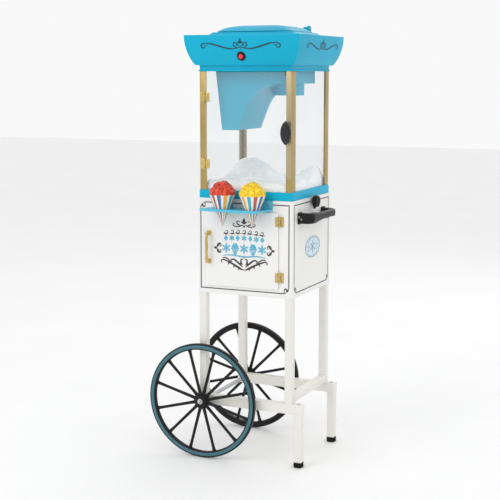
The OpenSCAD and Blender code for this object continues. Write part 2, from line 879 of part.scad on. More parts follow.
// Lugs that stand on the canopy behind the lid, each with its pin
module lid_hinge() {
  color("deepskyblue") for (side = [0, 1]) mirror([side, 0, 0]) {
    bar_x([84, lid_hinge_y, lid_hinge_z], 8, 9);
    block([84, 92], [lid_hinge_y - 8.5, lid_hinge_y + 8.5], [rim_z, lid_hinge_z]);
    bar_x([lid_arm_x[0], lid_hinge_y, lid_hinge_z], 20, lid_pin_r);
  }
}

module placed() { translate([origin_x, origin_y, 0]) children(); }

placed() leg_front_left();
placed() leg_front_right();
placed() leg_rear_left();
placed() leg_rear_right();
placed() rail_front();
placed() rail_rear();
placed() cross_rail();
placed() lower_legs();
placed() rubber_feet();
placed() wheel_axle();
placed() axle_caps();
placed() frame_bolts();
placed() cabinet_floor();
placed() cabinet_left_panel();
placed() cabinet_right_panel();
placed() cabinet_back_panel();
placed() cabinet_front_frame();
placed() deck_tray();
placed() drain_spout();
placed() cone_shelf();
placed() push_handle();
placed() door_magnets();
placed() fixed_hinge_leaves();
placed() post_front_left();
placed() post_front_right();
placed() rear_posts();
placed() left_pane();
placed() right_pane();
placed() rear_pane();
placed() front_sill();
placed() upper_trim();
placed() mechanism_plate();
placed() canopy();
placed() drive_cover();
placed() snow_chute();
placed() ice_hopper();
placed() motor();
placed() drive_belt();
placed() button_bezel();
placed() cord_gland();
placed() snow_heap();
placed() lid_hinge();
placed() wheel_front();
placed() wheel_rear();
placed() case_door_pane();
placed() case_door_leaves();
placed() case_door_knob();
placed() storage_door();
placed() storage_door_leaves();
placed() storage_door_pull();
placed() ice_lid();
placed() push_button();
placed() drain_cap();
placed() shaver_disc();
placed() drive_pulley();
placed() motor_pulley();
placed() left_cup();
placed() left_ice();
placed() right_cup();
placed() right_ice();
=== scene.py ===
import json
from math import asin, atan2, copysign, cos, exp, hypot, pi, radians, sin, sqrt

import bmesh
import bpy
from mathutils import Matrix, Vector, noise

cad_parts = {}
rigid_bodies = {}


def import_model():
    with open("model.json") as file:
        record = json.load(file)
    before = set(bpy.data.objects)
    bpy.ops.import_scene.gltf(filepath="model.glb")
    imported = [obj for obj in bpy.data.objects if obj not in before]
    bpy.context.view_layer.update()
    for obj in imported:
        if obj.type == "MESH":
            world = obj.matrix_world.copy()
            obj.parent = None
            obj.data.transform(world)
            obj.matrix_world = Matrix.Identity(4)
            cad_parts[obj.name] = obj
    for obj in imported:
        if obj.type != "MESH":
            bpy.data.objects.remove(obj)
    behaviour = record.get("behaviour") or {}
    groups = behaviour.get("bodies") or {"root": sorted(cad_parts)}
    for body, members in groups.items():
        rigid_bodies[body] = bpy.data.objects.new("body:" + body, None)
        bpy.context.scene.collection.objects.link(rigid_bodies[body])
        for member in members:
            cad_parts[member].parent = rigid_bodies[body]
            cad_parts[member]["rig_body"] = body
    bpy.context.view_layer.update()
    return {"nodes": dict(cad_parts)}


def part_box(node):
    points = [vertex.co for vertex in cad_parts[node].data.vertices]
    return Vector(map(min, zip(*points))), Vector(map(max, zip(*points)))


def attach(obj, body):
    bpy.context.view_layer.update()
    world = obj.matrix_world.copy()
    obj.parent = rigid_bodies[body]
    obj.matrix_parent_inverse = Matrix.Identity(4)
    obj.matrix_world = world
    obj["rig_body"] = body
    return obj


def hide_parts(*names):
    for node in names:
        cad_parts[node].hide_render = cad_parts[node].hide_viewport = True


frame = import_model()

# Local millimetres: x and y from the middle of the glazed case, z from the floor.
deck_low, deck_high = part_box("deck_tray")
MID_X = (deck_low.x + deck_high.x) / 2
MID_Y = (deck_low.y + deck_high.y) / 2


def V(x, y, z):
    """A point in the frame's metres from local millimetres."""
    return Vector((MID_X + x / 1000, MID_Y + y / 1000, z / 1000))


def local_box(node):
    """The CAD node's corners in local millimetres."""
    low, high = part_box(node)
    off = Vector((MID_X, MID_Y, 0))
    return (low - off) * 1000, (high - off) * 1000


def turn(n):
    """The angles of n even steps round a circle."""
    return [2 * pi * i / n for i in range(n)]


# ---- materials


def shader(name, color, rough=0.4, metallic=0.0, **inputs):
    """A Principled material. Other sockets are given by name, with underscores for spaces."""
    m = bpy.data.materials.new(name)
    m.use_nodes = True
    b = m.node_tree.nodes["Principled BSDF"]
    b.inputs["Base Color"].default_value = (*color, 1)
    b.inputs["Roughness"].default_value = rough
    b.inputs["Metallic"].default_value = metallic
    for key, value in inputs.items():
        b.inputs[key.replace("_", " ")].default_value = value
    return m


def add_noise(m, scale, detail=4.0, stretch=(1, 1, 1)):
    """A noise texture in the piece's own coordinates."""
    nt = m.node_tree
    tc = nt.nodes.new("ShaderNodeTexCoord")
    mp = nt.nodes.new("ShaderNodeMapping")
    mp.inputs["Scale"].default_value = stretch
    n = nt.nodes.new("ShaderNodeTexNoise")
    n.inputs["Scale"].default_value = scale
    n.inputs["Detail"].default_value = detail
    nt.links.new(tc.outputs["Object"], mp.inputs["Vector"])
    nt.links.new(mp.outputs["Vector"], n.inputs["Vector"])
    return n.outputs["Fac"]


def tint(m, fac, low, high, a=0.3, b=0.7):
    """Colour drifts between low and high with the noise."""
    r = m.node_tree.nodes.new("ShaderNodeValToRGB")
    for stop, place, color in zip(r.color_ramp.elements, (a, b), (low, high)):
        stop.position = place
        stop.color = (*color, 1)
    m.node_tree.links.new(fac, r.inputs["Fac"])
    m.node_tree.links.new(r.outputs["Color"], m.node_tree.nodes["Principled BSDF"].inputs["Base Color"])


def rough_map(m, fac, low, high, socket="Roughness"):
    """A noise sets the roughness, or another socket, between two values."""
    n = m.node_tree.nodes.new("ShaderNodeMapRange")
    n.inputs["To Min"].default_value = low
    n.inputs["To Max"].default_value = high
    m.node_tree.links.new(fac, n.inputs["Value"])
    m.node_tree.links.new(n.outputs["Result"], m.node_tree.nodes["Principled BSDF"].inputs[socket])


def bump(m, fac, strength, distance):
    """Adds a bump, on top of any bump that the material already has."""
    nt = m.node_tree
    n = nt.nodes.new("ShaderNodeBump")
    n.inputs["Strength"].default_value = strength
    n.inputs["Distance"].default_value = distance
    nt.links.new(fac, n.inputs["Height"])
    b = nt.nodes["Principled BSDF"]
    if b.inputs["Normal"].is_linked:
        nt.links.new(b.inputs["Normal"].links[0].from_socket, n.inputs["Normal"])
    nt.links.new(n.outputs["Normal"], b.inputs["Normal"])


def scaled(c, k):
    return tuple(min(1, x * k) for x in c)


def plastic(name, color, rough, grain=900, grain_depth=0.00006, shine=0.3):
    """Moulded plastic: a faint drift of colour, a fine mould grain and slow waviness."""
    m = shader(name, color, rough, Specular_IOR_Level=shine)
    tint(m, add_noise(m, 6, 3), scaled(color, 0.93), scaled(color, 1.05))
    rough_map(m, add_noise(m, 25, 5), rough * 0.85, rough * 1.2)
    bump(m, add_noise(m, grain, 2), 0.12, grain_depth)
    bump(m, add_noise(m, 14, 1), 0.25, 0.0004)
    return m


def enamel(name, color, rough):
    """Sprayed paint on steel: fine orange peel and a faint drift of colour and gloss."""
    m = shader(name, color, rough, Coat_Weight=0.1, Coat_Roughness=0.2)
    tint(m, add_noise(m, 4, 1), scaled(color, 0.975), color)
    rough_map(m, add_noise(m, 12, 2), rough * 0.9, rough * 1.15)
    bump(m, add_noise(m, 480, 1), 0.06, 0.00003)
    return m


def metal(name, color, rough, brush=(1, 1, 60)):
    """Metal with brush lines across it and a patchy lacquer."""
    m = shader(name, color, rough, 1.0)
    tint(m, add_noise(m, 11, 5), scaled(color, 0.82), scaled(color, 1.06))
    lines = add_noise(m, 30, 3, brush)
    rough_map(m, lines, rough * 0.75, rough * 1.35)
    bump(m, lines, 0.12, 0.00006)
    return m


def ink(name, color, rough=0.45):
    """Printing ink, a little uneven."""
    m = shader(name, color, rough)
    tint(m, add_noise(m, 220, 3), scaled(color, 0.85), scaled(color, 1.2))
    return m


def button_red():
    m = shader("red_button_plastic", (0.75, 0.012, 0.015), 0.2, Coat_Weight=0.5, Coat_Roughness=0.05)
    rough_map(m, add_noise(m, 60, 3), 0.15, 0.28)
    return m


def clear_sheet():
    """Clear panes: mostly see-through, with a pale veil whose strength drifts with a noise; the veil is painted
    reflection, standing in for the panes' milky sheen.
    """
    m = shader("clear_acrylic", (0.80, 0.86, 0.88), 0.08, Alpha=0.12, IOR=1.49)
    # painted reflection: the pale veil's alpha drifts with a noise stretched upright, for the uneven milky sheen
    # on the panes
    rough_map(m, add_noise(m, 5, 4, (1, 1, 0.4)), 0.045, 0.12, "Alpha")
    rough_map(m, add_noise(m, 40, 3), 0.04, 0.12)
    return m


def icy(name, low, high, sss, radius, grain):
    """Wet granular ice: each crystal has its own shade, and light bleeds through them."""
    m = shader(
        name, high, 0.35, Subsurface_Weight=sss, Subsurface_Scale=0.01, Subsurface_Radius=radius,
        Coat_Weight=0.1, Specular_IOR_Level=0.3,
    )
    nt = m.node_tree
    tc = nt.nodes.new("ShaderNodeTexCoord")
    vo = nt.nodes.new("ShaderNodeTexVoronoi")
    vo.inputs["Scale"].default_value = grain
    nt.links.new(tc.outputs["Object"], vo.inputs["Vector"])
    tint(m, vo.outputs["Color"], low, high, 0.25, 0.75)
    bump(m, vo.outputs["Distance"], 0.7, 0.0012)
    bump(m, add_noise(m, grain * 2.5, 4), 0.5, 0.0008)
    rough_map(m, add_noise(m, grain, 2), 0.2, 0.6)
    return m


def paper(name, color):
    """Printed paper with a fine fibre."""
    m = shader(name, color, 0.62, Sheen_Weight=0.1)
    tint(m, add_noise(m, 700, 4), scaled(color, 0.9), color)
    bump(m, add_noise(m, 1200, 3), 0.15, 0.00005)
    return m


M = {
    "blue": plastic("turquoise_plastic", (0.008, 0.40, 0.60), 0.34, shine=0.12),
    "blue_in": plastic("turquoise_chute_plastic", (0.006, 0.40, 0.58), 0.4, shine=0.2),
    "deck": plastic("deck_plastic", (0.006, 0.42, 0.63), 0.34, shine=0.14),
    "shelf": plastic("shelf_plastic", (0.10, 0.50, 0.70), 0.30),
    "black": plastic("black_plastic", (0.008, 0.008, 0.008), 0.36, shine=0.22),
    "gloss": plastic("gloss_black_plastic", (0.008, 0.008, 0.008), 0.14, shine=0.5),
    "grey": plastic("grey_plastic", (0.25, 0.26, 0.27), 0.45),
    "red": button_red(),
    "rubber": plastic("foot_rubber", (0.010, 0.010, 0.009), 0.75, grain=1500, grain_depth=0.0002, shine=0.2),
    "belt": plastic("belt_rubber", (0.02, 0.02, 0.02), 0.8),
    "white": enamel("white_enamel", (0.82, 0.815, 0.80), 0.28),
    "cream": enamel("leg_enamel", (0.78, 0.77, 0.715), 0.32),
    "brass": metal("brass", (0.44, 0.325, 0.125), 0.30),
    "hinge": metal("hinge_brass", (0.62, 0.47, 0.17), 0.24, (60, 1, 1)),
    "steel": metal("bright_steel", (0.55, 0.56, 0.58), 0.28, (1, 60, 1)),
    "stripe": plastic("wheel_stripe_paint", (0.055, 0.16, 0.20), 0.3),
    "ink_teal": ink("dark_teal_print", (0.004, 0.045, 0.075)),
    "ink_dark": ink("dark_brown_print", (0.035, 0.028, 0.026), 0.5),
    "ink_line": ink("grey_print", (0.03, 0.03, 0.03), 0.5),
    "ink_sky": ink("sky_blue_print", (0.10, 0.42, 0.60)),
    "ink_pale": ink("pale_blue_print", (0.62, 0.76, 0.82)),
    "ink_badge": ink("badge_grey_blue_print", (0.24, 0.36, 0.43)),
    "clear": clear_sheet(),
    "snow": icy("shaved_ice", (0.95, 0.955, 0.96), (0.99, 0.99, 0.99), 0.12, (1.0, 1.0, 1.0), 160),
    "red_ice": icy("cherry_ice", (0.36, 0.006, 0.004), (0.84, 0.10, 0.035), 0.1, (1.0, 0.2, 0.1), 260),
    "yellow_ice": icy("lemon_ice", (0.78, 0.44, 0.004), (0.98, 0.76, 0.04), 0.1, (1.0, 0.8, 0.1), 260),
}
CUP = [
    paper("cup_white", (0.86, 0.84, 0.80)),
    paper("cup_brick", (0.50, 0.12, 0.07)),
    paper("cup_blue", (0.05, 0.17, 0.38)),
    paper("cup_orange", (0.85, 0.40, 0.05)),
    paper("cup_teal", (0.05, 0.42, 0.50)),
]

# ---- mesh tools


def show(name, me, body, nodes, slot):
    o = bpy.data.objects.new(name, me)
    bpy.context.scene.collection.objects.link(o)
    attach(o, body)
    if nodes:
        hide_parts(*nodes)


def piece(name, verts, faces, mat, body, stands_for=(), slot=None, smooth=35, mats=None, face_mats=None):
    """A mesh that rides on a body, in place of the CAD nodes that it stands for."""
    me = bpy.data.meshes.new(name)
    me.from_pydata([tuple(v) for v in verts], [], faces)
    bm = bmesh.new()
    bm.from_mesh(me)
    if smooth is not None:
        bmesh.ops.remove_doubles(bm, verts=bm.verts, dist=2e-6)
    if face_mats is None:
        bmesh.ops.recalc_face_normals(bm, faces=bm.faces)
    bm.to_mesh(me)
    bm.free()
    for m in mats or [M[mat]]:
        me.materials.append(m)
    if face_mats is not None:
        me.polygons.foreach_set("material_index", face_mats)
    if smooth:
        me.shade_smooth()
        me.set_sharp_from_angle(angle=radians(smooth))
    show(name, me, body, stands_for, slot)


def rr(cx, cy, hx, hy, r, z, nc=6, ns=6):
    """Points round a rounded rectangle in local millimetres, counter-clockwise."""
    pts = []
    for sx, sy, a0 in ((1, 1, 0), (-1, 1, 90), (-1, -1, 180), (1, -1, 270)):
        px, py = cx + sx * (hx - r), cy + sy * (hy - r)
        for i in range(nc + 1):
            a = radians(a0 + 90 * i / nc)
            pts.append((px + r * cos(a), py + r * sin(a)))
    full = []
    n = nc + 1
    for k in range(4):
        full += pts[k * n : (k + 1) * n]
        a, b = pts[(k + 1) * n - 1], pts[((k + 1) * n) % (4 * n)]
        full += [(a[0] + (b[0] - a[0]) * i / ns, a[1] + (b[1] - a[1]) * i / ns) for i in range(1, ns)]
    return [V(x, y, z) for x, y in full]


def to_circle(ring, cx, cy, r, z):
    """The points of a ring, pushed in or out on to a circle."""
    c = V(cx, cy, 0)
    out = []
    for p in ring:
        d = Vector((p.x - c.x, p.y - c.y, 0)).normalized()
        out.append(c + d * (r / 1000) + Vector((0, 0, z / 1000)))
    return out


def grow(rings, closed=False, cap_start=True):
    """Quads between rings of equal length, capped at both ends unless closed."""
    n = len(rings[0])
    verts = [p for ring in rings for p in ring]
    faces = []
    last = len(rings) if closed else len(rings) - 1
    for k in range(last):
        a, b = k * n, ((k + 1) % len(rings)) * n
        for i in range(n):
            j = (i + 1) % n
            faces.append((a + i, a + j, b + j, b + i))
    if cap_start and not closed:
        faces.append(tuple(reversed(range(n))))
    if not closed:
        faces.append(tuple(range((len(rings) - 1) * n, len(rings) * n)))
    return verts, faces


def merge(*parts):
    """Several (vertices, faces) as one."""
    verts, faces = [], []
    for v, f in parts:
        k = len(verts)
        verts += list(v)
        faces += [tuple(i + k for i in face) for face in f]
    return verts, faces


def lathe(profile, origin, axis=(0, 0, 1), n=48, closed=False):
    """Revolves (radius, height) millimetres about an axis through origin (metres)."""
    axis = Vector(axis).normalized()
    side = axis.orthogonal().normalized()
    other = axis.cross(side)
    rings = []
    for r, h in profile:
        r = max(r, 0.001)
        rings.append([
            origin + axis * (h / 1000) + (side * cos(a) + other * sin(a)) * (r / 1000) for a in turn(n)
        ])
    return grow(rings, closed)


def pill(x0, x1, y0, y1, z0, z1, b=0.8, r=None):
    """A block with rounded edges, standing along Z."""
    hx, hy = (x1 - x0) / 2, (y1 - y0) / 2
    cx, cy = (x0 + x1) / 2, (y0 + y1) / 2
    r = r or min(hx, hy, 2 * b)
    b = min(b, (z1 - z0) / 2.01, hx * 0.9, hy * 0.9)
    rings = []
    for end, up, order in ((z0, 1, (0, 1, 2, 3)), (z1, -1, (3, 2, 1, 0))):
        for i in order:
            a = pi / 2 * i / 3
            inset, dz = b * (1 - sin(a)), b * (1 - cos(a))
            rings.append(rr(cx, cy, hx - inset, hy - inset, max(r - inset, 0.05), end + up * dz, 4, 1))
    return grow(rings)


def sweep(path, section, up=(0, 0, 1), scales=None):
    """A closed cross-section [(a, b)] millimetres carried along a path of points (metres)."""
    rings = []
    for i, p in enumerate(path):
        t = (path[min(i + 1, len(path) - 1)] - path[max(i - 1, 0)]).normalized()
        s = t.cross(Vector(up)).normalized()
        u = s.cross(t).normalized()
        k = scales[i] if scales else (1, 1)
        rings.append([p + s * (a * k[0] / 1000) + u * (b * k[1] / 1000) for a, b in section])
    return grow(rings)


def superellipse(a, b, n, power):
    """A rounded section: an ellipse at power 2, squarer above."""
    pts = []
    for t in turn(n):
        c, s = cos(t), sin(t)
        pts.append((a * copysign(abs(c) ** (2 / power), c), b * copysign(abs(s) ** (2 / power), s)))
    return pts


def polish(node, mat, width, name, segments, slot):
    """A copy of a CAD node with its hard edges rounded, shown in its place."""
    cad = frame["nodes"][node]
    me = cad.data.copy()
    bm = bmesh.new()
    bm.from_mesh(me)
    bmesh.ops.remove_doubles(bm, verts=bm.verts, dist=1e-6)
    bmesh.ops.dissolve_limit(bm, angle_limit=radians(0.6), verts=bm.verts, edges=bm.edges)
    sharp = [e for e in bm.edges if e.is_manifold and e.calc_face_angle(0) > radians(32)]
    bmesh.ops.bevel(
        bm, geom=sharp, offset=width / 1000, offset_type="OFFSET", segments=segments, profile=0.6,
        affect="EDGES", clamp_overlap=True, loop_slide=True,
    )
    bm.to_mesh(me)
    bm.free()
    me.name = name
    me.materials.clear()
    me.materials.append(M[mat])
    me.shade_smooth()
    me.set_sharp_from_angle(angle=radians(34))
    show(name, me, cad["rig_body"], [node], slot)


def recolor(node, mat):
    """Shows the CAD node itself in one of this scene's materials."""
    cad = frame["nodes"][node]
    cad.data.materials.clear()
    cad.data.materials.append(M[mat])


# ---- printed lines

LAYER, LAYERS = 0.000008, 24  # metres between crossing strokes, and how many before it starts again


def smooth_path(ctrl, n=10):
    """Catmull-Rom through (u, v, width) points."""
    out = []
    for i in range(len(ctrl) - 1):
        p0, p1, p2, p3 = ctrl[max(i - 1, 0)], ctrl[i], ctrl[i + 1], ctrl[min(i + 2, len(ctrl) - 1)]
        for k in range(n):
            t = k / n
            point = []
            for a, b, c, d in zip(p0, p1, p2, p3):
                curve = (2 * a - 5 * b + 4 * c - d) * t * t + (3 * b - a - 3 * c + d) * t**3
                point.append(0.5 * (2 * b + (c - a) * t + curve))
            out.append(tuple(point))
    out.append(tuple(ctrl[-1]))
    return out


def spiral(cu, cv, r0, r1, a0, a1, w0, w1, n):
    """A curl about (cu, cv): radius, angle in degrees and width each run from one value to another."""
    out = []
    for i in range(n + 1):
        t = i / n
        a = radians(a0 + (a1 - a0) * t)
        r = r0 + (r1 - r0) * t
        out.append((cu + r * cos(a), cv + r * sin(a), w0 + (w1 - w0) * t))
    return out


def dot(cu, cv, r):
    return [(cu + r * cos(a), cv + r * sin(a)) for a in turn(20)]


def mirrored(strokes, u0=0):
    """The strokes, and their mirror images in the line u = u0."""
    return strokes + [[(2 * u0 - p[0], *p[1:]) for p in s] for s in strokes]


def printed(name, strokes, blobs, place, mat, body):
    """Ink on a surface. strokes are paths of (u, v, width), blobs are closed outlines of (u, v).

    Each shape lies a few microns above the one before, so crossing strokes never share a plane.
    """
    verts, faces = [], []
    u, v = (strokes[0][0] if strokes else blobs[0][0])[:2]
    here = place(u, v)
    out = (place(u + 1, v) - here).cross(place(u, v + 1) - here).normalized()
    if out.dot(here - Vector((MID_X, MID_Y, here.z))) < 0:
        out = -out
    layers = []
    for s in strokes:
        k = len(verts)
        layers.append(k)
        for i, (u, v, w) in enumerate(s):
            a, b = s[max(i - 1, 0)], s[min(i + 1, len(s) - 1)]
            du, dv = b[0] - a[0], b[1] - a[1]
            length = hypot(du, dv) or 1
            nu, nv = -dv / length, du / length
            verts += [place(u + nu * w / 2, v + nv * w / 2), place(u - nu * w / 2, v - nv * w / 2)]
        for i in range(len(s) - 1):
            a = k + 2 * i
            faces.append((a, a + 1, a + 3, a + 2))
    for outline in blobs:
        k = len(verts)
        layers.append(k)
        cu = sum(p[0] for p in outline) / len(outline)
        cv = sum(p[1] for p in outline) / len(outline)
        verts.append(place(cu, cv))
        verts += [place(u, v) for u, v in outline]
        n = len(outline)
        faces += [(k, k + 1 + i, k + 1 + (i + 1) % n) for i in range(n)]
    layers.append(len(verts))
    for i, (start, end) in enumerate(zip(layers, layers[1:])):
        for j in range(start, end):
            verts[j] = verts[j] + out * (LAYER * (i % LAYERS))
    return piece(name, verts, faces, mat, body, smooth=None)


def leaf(u, v, length, width, angle, bend=0):
    """A pointed leaf as one stroke of varying width."""
    out = []
    a = radians(angle)
    for i in range(13):
        t = i / 12
        w = width * sin(pi * t) ** 0.8
        s = bend * length * t * t
        along = length * t
        out.append((u + along * cos(a) - s * sin(a), v + along * sin(a) + s * cos(a), w))
    return out


def snowflake(cu, cv, r, w):
    """Six arms, each with two pairs of side branches."""
    strokes = []
    for k in range(6):
        a = radians(60 * k + 30)
        c, s = cos(a), sin(a)
        strokes.append([(cu, cv, w), (cu + r * c, cv + r * s, w)])
        for t in (0.45, 0.72):
            root = (cu + r * t * c, cv + r * t * s, w * 0.8)
            q = r * 0.3 * (1.25 - t)
            for b in (a - radians(52), a + radians(52)):
                strokes.append([root, (root[0] + q * cos(b), root[1] + q * sin(b), w * 0.8)])
    return strokes


# ---- canopy, trim and lid

can_low, can_high = local_box("canopy")
RIM_X, RIM_Y = can_high.x, can_high.y
BASE_Z, COLLAR_Z = can_low.z, can_high.z
RIM_Z = COLLAR_Z - 9
FLARE, HEIGHT = 20.7, RIM_Z - BASE_Z
ARC_R = (HEIGHT**2 + FLARE**2) / (2 * FLARE)
LIP_Z = BASE_Z - 2.6
LIP_ROUND = 1.2
CORNER_R = 4
SHELL_WALL = 3
MOUTH_Y, MOUTH_R = -5, 88.5
COLLAR_Y = -5.25
DEEPER = 4  # half-depth of the body beyond its half-width


def wall_out(z, inset=0):
    """How far the canopy's wall stands inside its rim at height z."""
    return ARC_R - sqrt((ARC_R - inset) ** 2 - (RIM_Z - z) ** 2)


def collar_rings():
    """The cove from the flat rim up to the raised collar, as (half-width, half-depth, rise)."""
    cove = (
        (150, 140, 0.2), (137, 112, 1), (131, 105.6, 2.4), (127.6, 102.2, 4.4), (125.6, 100.3, 6.4),
        (124, 98.8, 7.8), (121.5, 96.4, 8.8), (118, 93, 9),
    )
    rings = []
    for hx, hy, rise in cove:
        cy = COLLAR_Y * (9 - max(0, (hx - 118) / 5)) / 9
        rings.append(rr(0, cy, hx, hy, 18 if hx < 145 else 12, RIM_Z + rise))
    return rings

# Inner edge, lower lip, flared wall, rim, collar, ice mouth and the inside of the shell.
rings = [rr(0, 0, 128, 132, 3, z) for z in (BASE_Z + 3, BASE_Z)]
for h, z in ((142.6, BASE_Z), (142.6, LIP_Z + 0.6), (143.2, LIP_Z)):
    rings.append(rr(0, 0, h, h + DEEPER, 3, z))
for i in range(4):
    a = pi / 2 * i / 3
    inset = wall_out(LIP_Z) + LIP_ROUND * (1 - sin(a))
    z = LIP_Z + LIP_ROUND * (1 - cos(a))
    rings.append(rr(0, 0, RIM_X - inset, RIM_Y - inset, CORNER_R, z))
for i in range(1, 15):
    z = LIP_Z + LIP_ROUND + (HEIGHT + 0.4) * i / 14
    w = wall_out(z)
    rings.append(rr(0, 0, RIM_X - w, RIM_Y - w, CORNER_R, z))
for inset, drop in ((0.15, 0.6), (0.5, 0.2), (1.2, 0.05), (3, 0)):
    rings.append(rr(0, 0, RIM_X - inset, RIM_Y - inset, CORNER_R, RIM_Z - drop))
rings += collar_rings()
base = rr(0, MOUTH_Y, 118, 93, 18, COLLAR_Z)
for r, drop in ((MOUTH_R + 1.5, 0), (MOUTH_R, 1.2), (MOUTH_R, SHELL_WALL)):
    rings.append(to_circle(base, 0, MOUTH_Y, r, COLLAR_Z - drop))
for z in (COLLAR_Z, RIM_Z):
    rings.append(rr(0, COLLAR_Y, 122, 96.75, 17, z - SHELL_WALL))
for i in range(8):
    z = RIM_Z - SHELL_WALL - (HEIGHT - 6) * i / 7
    w = wall_out(z, SHELL_WALL)
    rings.append(rr(0, 0, RIM_X - w, RIM_Y - w, 6, z))
mesh = grow(rings, closed=True)
piece("canopy_shell", *mesh, "blue", "machine", ["canopy"], "blue_plastic", 40)

# The moulding under the canopy: a bead below and a cove above, as (half-width, height).
bottom = local_box("upper_trim")[0].z
outline = (
    (128, 19), (128, 0), (138.4, 0), (139.1, 0.5), (139.3, 2), (139, 3.6), (138, 4.3), (137.1, 4.7),
    (136.9, 6), (137, 12), (137.5, 14.6), (138.6, 16.6), (140.4, 18.2), (141, 19),
)
rings = [rr(0, 0, h, h + DEEPER, CORNER_R, bottom + z) for h, z in outline]
mesh = grow(rings, closed=True)
piece("cornice_trim", *mesh, "blue", "machine", ["upper_trim"], "blue_plastic", 40)


lid_low, lid_high = local_box("ice_lid")
LID_Y, LID_HX, LID_HY, LID_R = -3, 112, 97, 30
LID_Z = lid_low.z
HINGE_Y, HINGE_Z = 104, 1207


def dome_z(inset):
    """Height of the lid's top at a distance in from its edge."""
    rise = lid_high.z - LID_Z - 1.6
    return LID_Z + 1.4 + rise * (1 - (1 - min(inset, 96) / 97) ** 3.1)

# A cushion-shaped lid with two hinge arms at its back.
edge = rr(0, LID_Y, 109.5, 94.5, 27.5, LID_Z + 0.4)
rings = [edge]
for inset, z in ((1.2, 0), (0.35, 0.2), (0, 0.6), (0, 1.4)):
    rings.append(rr(0, LID_Y, LID_HX - inset, LID_HY - inset, LID_R - inset, LID_Z + z))
for inset in (0.5, 1.5, 3, 5, 8, 12, 17, 23, 30, 38, 47, 57, 68, 80, 90, 96):
    r = max(LID_R - inset, min(12, LID_HY - inset)) + 0.05
    rings.append(rr(0, LID_Y, LID_HX - inset, LID_HY - inset, r, dome_z(inset)))
under = [edge, rr(0, LID_Y, 108, 93, 26, LID_Z + 2.4)]
eye_section = [(2.6, 0), (5.2, 0), (6, 0.8), (6, 10.5), (5.2, 11.3), (2.6, 11.3)]
arms = []
for side in (-1, 1):
    x0, x1 = sorted((side * 72.2, side * 83.5))
    arms.append(lathe(eye_section, V(x0, HINGE_Y, HINGE_Z), (1, 0, 0), 32, True))
    arms.append(pill(x0, x1, 90, 101.5, LID_Z + 0.6, 1204.5, 1.2))
mesh = merge(grow(rings, cap_start=False), grow(under, cap_start=False), *arms)
piece("domed_ice_lid", *mesh, "blue", "lid", ["ice_lid"], "blue_plastic", 50)

polish("lid_hinge", "blue", 1.2, "lid_hinge_lugs", 3, slot="blue_plastic")

head = [(2.2, 0), (4.2, 0), (4.6, 0.5), (4.6, 1.6), (3.6, 2.6), (0, 3)]
pins = [lathe(head, V(s * 92, HINGE_Y, HINGE_Z), (s, 0, 0), 24) for s in (-1, 1)]
piece("lid_pin_heads", *merge(*pins), "steel", "machine", slot="bright_steel")


# Scrolls printed on the canopy, on its curved walls.
INK = 0.35  # how far ink stands off a curved wall
FLAT_INK = 0.3  # and off a flat sheet


def on_front(u, v):
    return V(u, -(RIM_Y - wall_out(v)) - INK, v)


def on_right(u, v):
    return V(RIM_X - wall_out(v) + INK, u, v)


def on_left(u, v):
    return V(-(RIM_X - wall_out(v)) - INK, u, v)


def canopy_scroll(centre):
    """Two long S-shaped scrolls, each from a curl at its end to the ornament in the middle."""
    run = smooth_path([
        (-100, 1162.6, 2), (-86, 1160.8, 3.8), (-62, 1154.4, 4.4), (-40, 1148.8, 4),
        (-24, 1147.2, 3), (-10, 1148.6, 1.6),
    ], 8)
    curl = smooth_path([
        (-100, 1162.6, 2), (-109, 1161.8, 3), (-116, 1157.2, 3.4), (-113.5, 1151, 3),
        (-106.5, 1150.6, 2.6), (-104.4, 1155.2, 2.2), (-108.5, 1157, 1.6),
    ], 6)
    outer_loop = smooth_path([
        (-3, 1150, 1.4), (-9, 1150, 2.4), (-16.5, 1152.6, 3), (-20.5, 1158.4, 3),
        (-16.5, 1164, 2.8), (-10.5, 1162, 2.4), (-10.4, 1156.8, 2), (-14, 1156.6, 1.6),
    ], 6)
    inner_loop = smooth_path([
        (-2, 1151, 1.2), (-5.2, 1155, 2), (-7.2, 1159.6, 2.2), (-5.4, 1164.6, 1.8), (-3, 1161.6, 1.2),
    ], 6)
    strokes = mirrored([run, curl, outer_loop, inner_loop])
    strokes.append(leaf(0, 1160, 15.5, 6.4, 90))
    strokes.append(leaf(0, 1160.5, 9, 3.2, 126, 0.2))
    strokes.append(leaf(0, 1160.5, 9, 3.2, 54, -0.2))
    strokes.append(leaf(0, 1158, 11.5, 1.6, 270))
    moved = [[(p[0] + centre, *p[1:]) for p in s] for s in strokes]
    blobs = [dot(centre - 100, 1157.6, 1.6), dot(centre + 100, 1157.6, 1.6), dot(centre, 1145.6, 1.5)]
    return moved, blobs


SIDE_SCROLL_Y = 11
printed("canopy_front_scroll", *canopy_scroll(0), on_front, "ink_teal", "machine")
printed("canopy_right_scroll", *canopy_scroll(SIDE_SCROLL_Y), on_right, "ink_teal", "machine")
printed("canopy_left_scroll", *canopy_scroll(SIDE_SCROLL_Y), on_left, "ink_teal", "machine")

# The push button in front and the cable gland behind stand square to the sloped walls.
BUTTON_Z = 1128
GLAND_X = 60
TILT = asin((RIM_Z - BUTTON_Z) / ARC_R)
WALL_Y = RIM_Y - wall_out(BUTTON_Z)

spot, out = V(0, -WALL_Y, BUTTON_Z), Vector((0, -cos(TILT), -sin(TILT)))
bezel = [
    (7.3, 3.4), (8, 3.9), (10.2, 3.7), (12, 2.6), (12.5, 1.2), (12.5, 0.1), (9, 0.1), (9, -19), (7.3, -19),
]
mesh = lathe(bezel, spot, out, 56, True)
piece("button_bezel_ring", *mesh, "black", "machine", ["button_bezel"], "black_plastic")
cap = [
    (6.9, -7), (6.9, 4.6), (6.6, 5.4), (6, 5.9), (5.2, 5.6), (4.4, 5.7), (3, 6.1), (1.5, 6.3), (0, 6.4),
]
mesh = lathe(cap, spot, out, 48)
piece("red_push_button", *mesh, "red", "button", ["push_button"], "red_plastic")

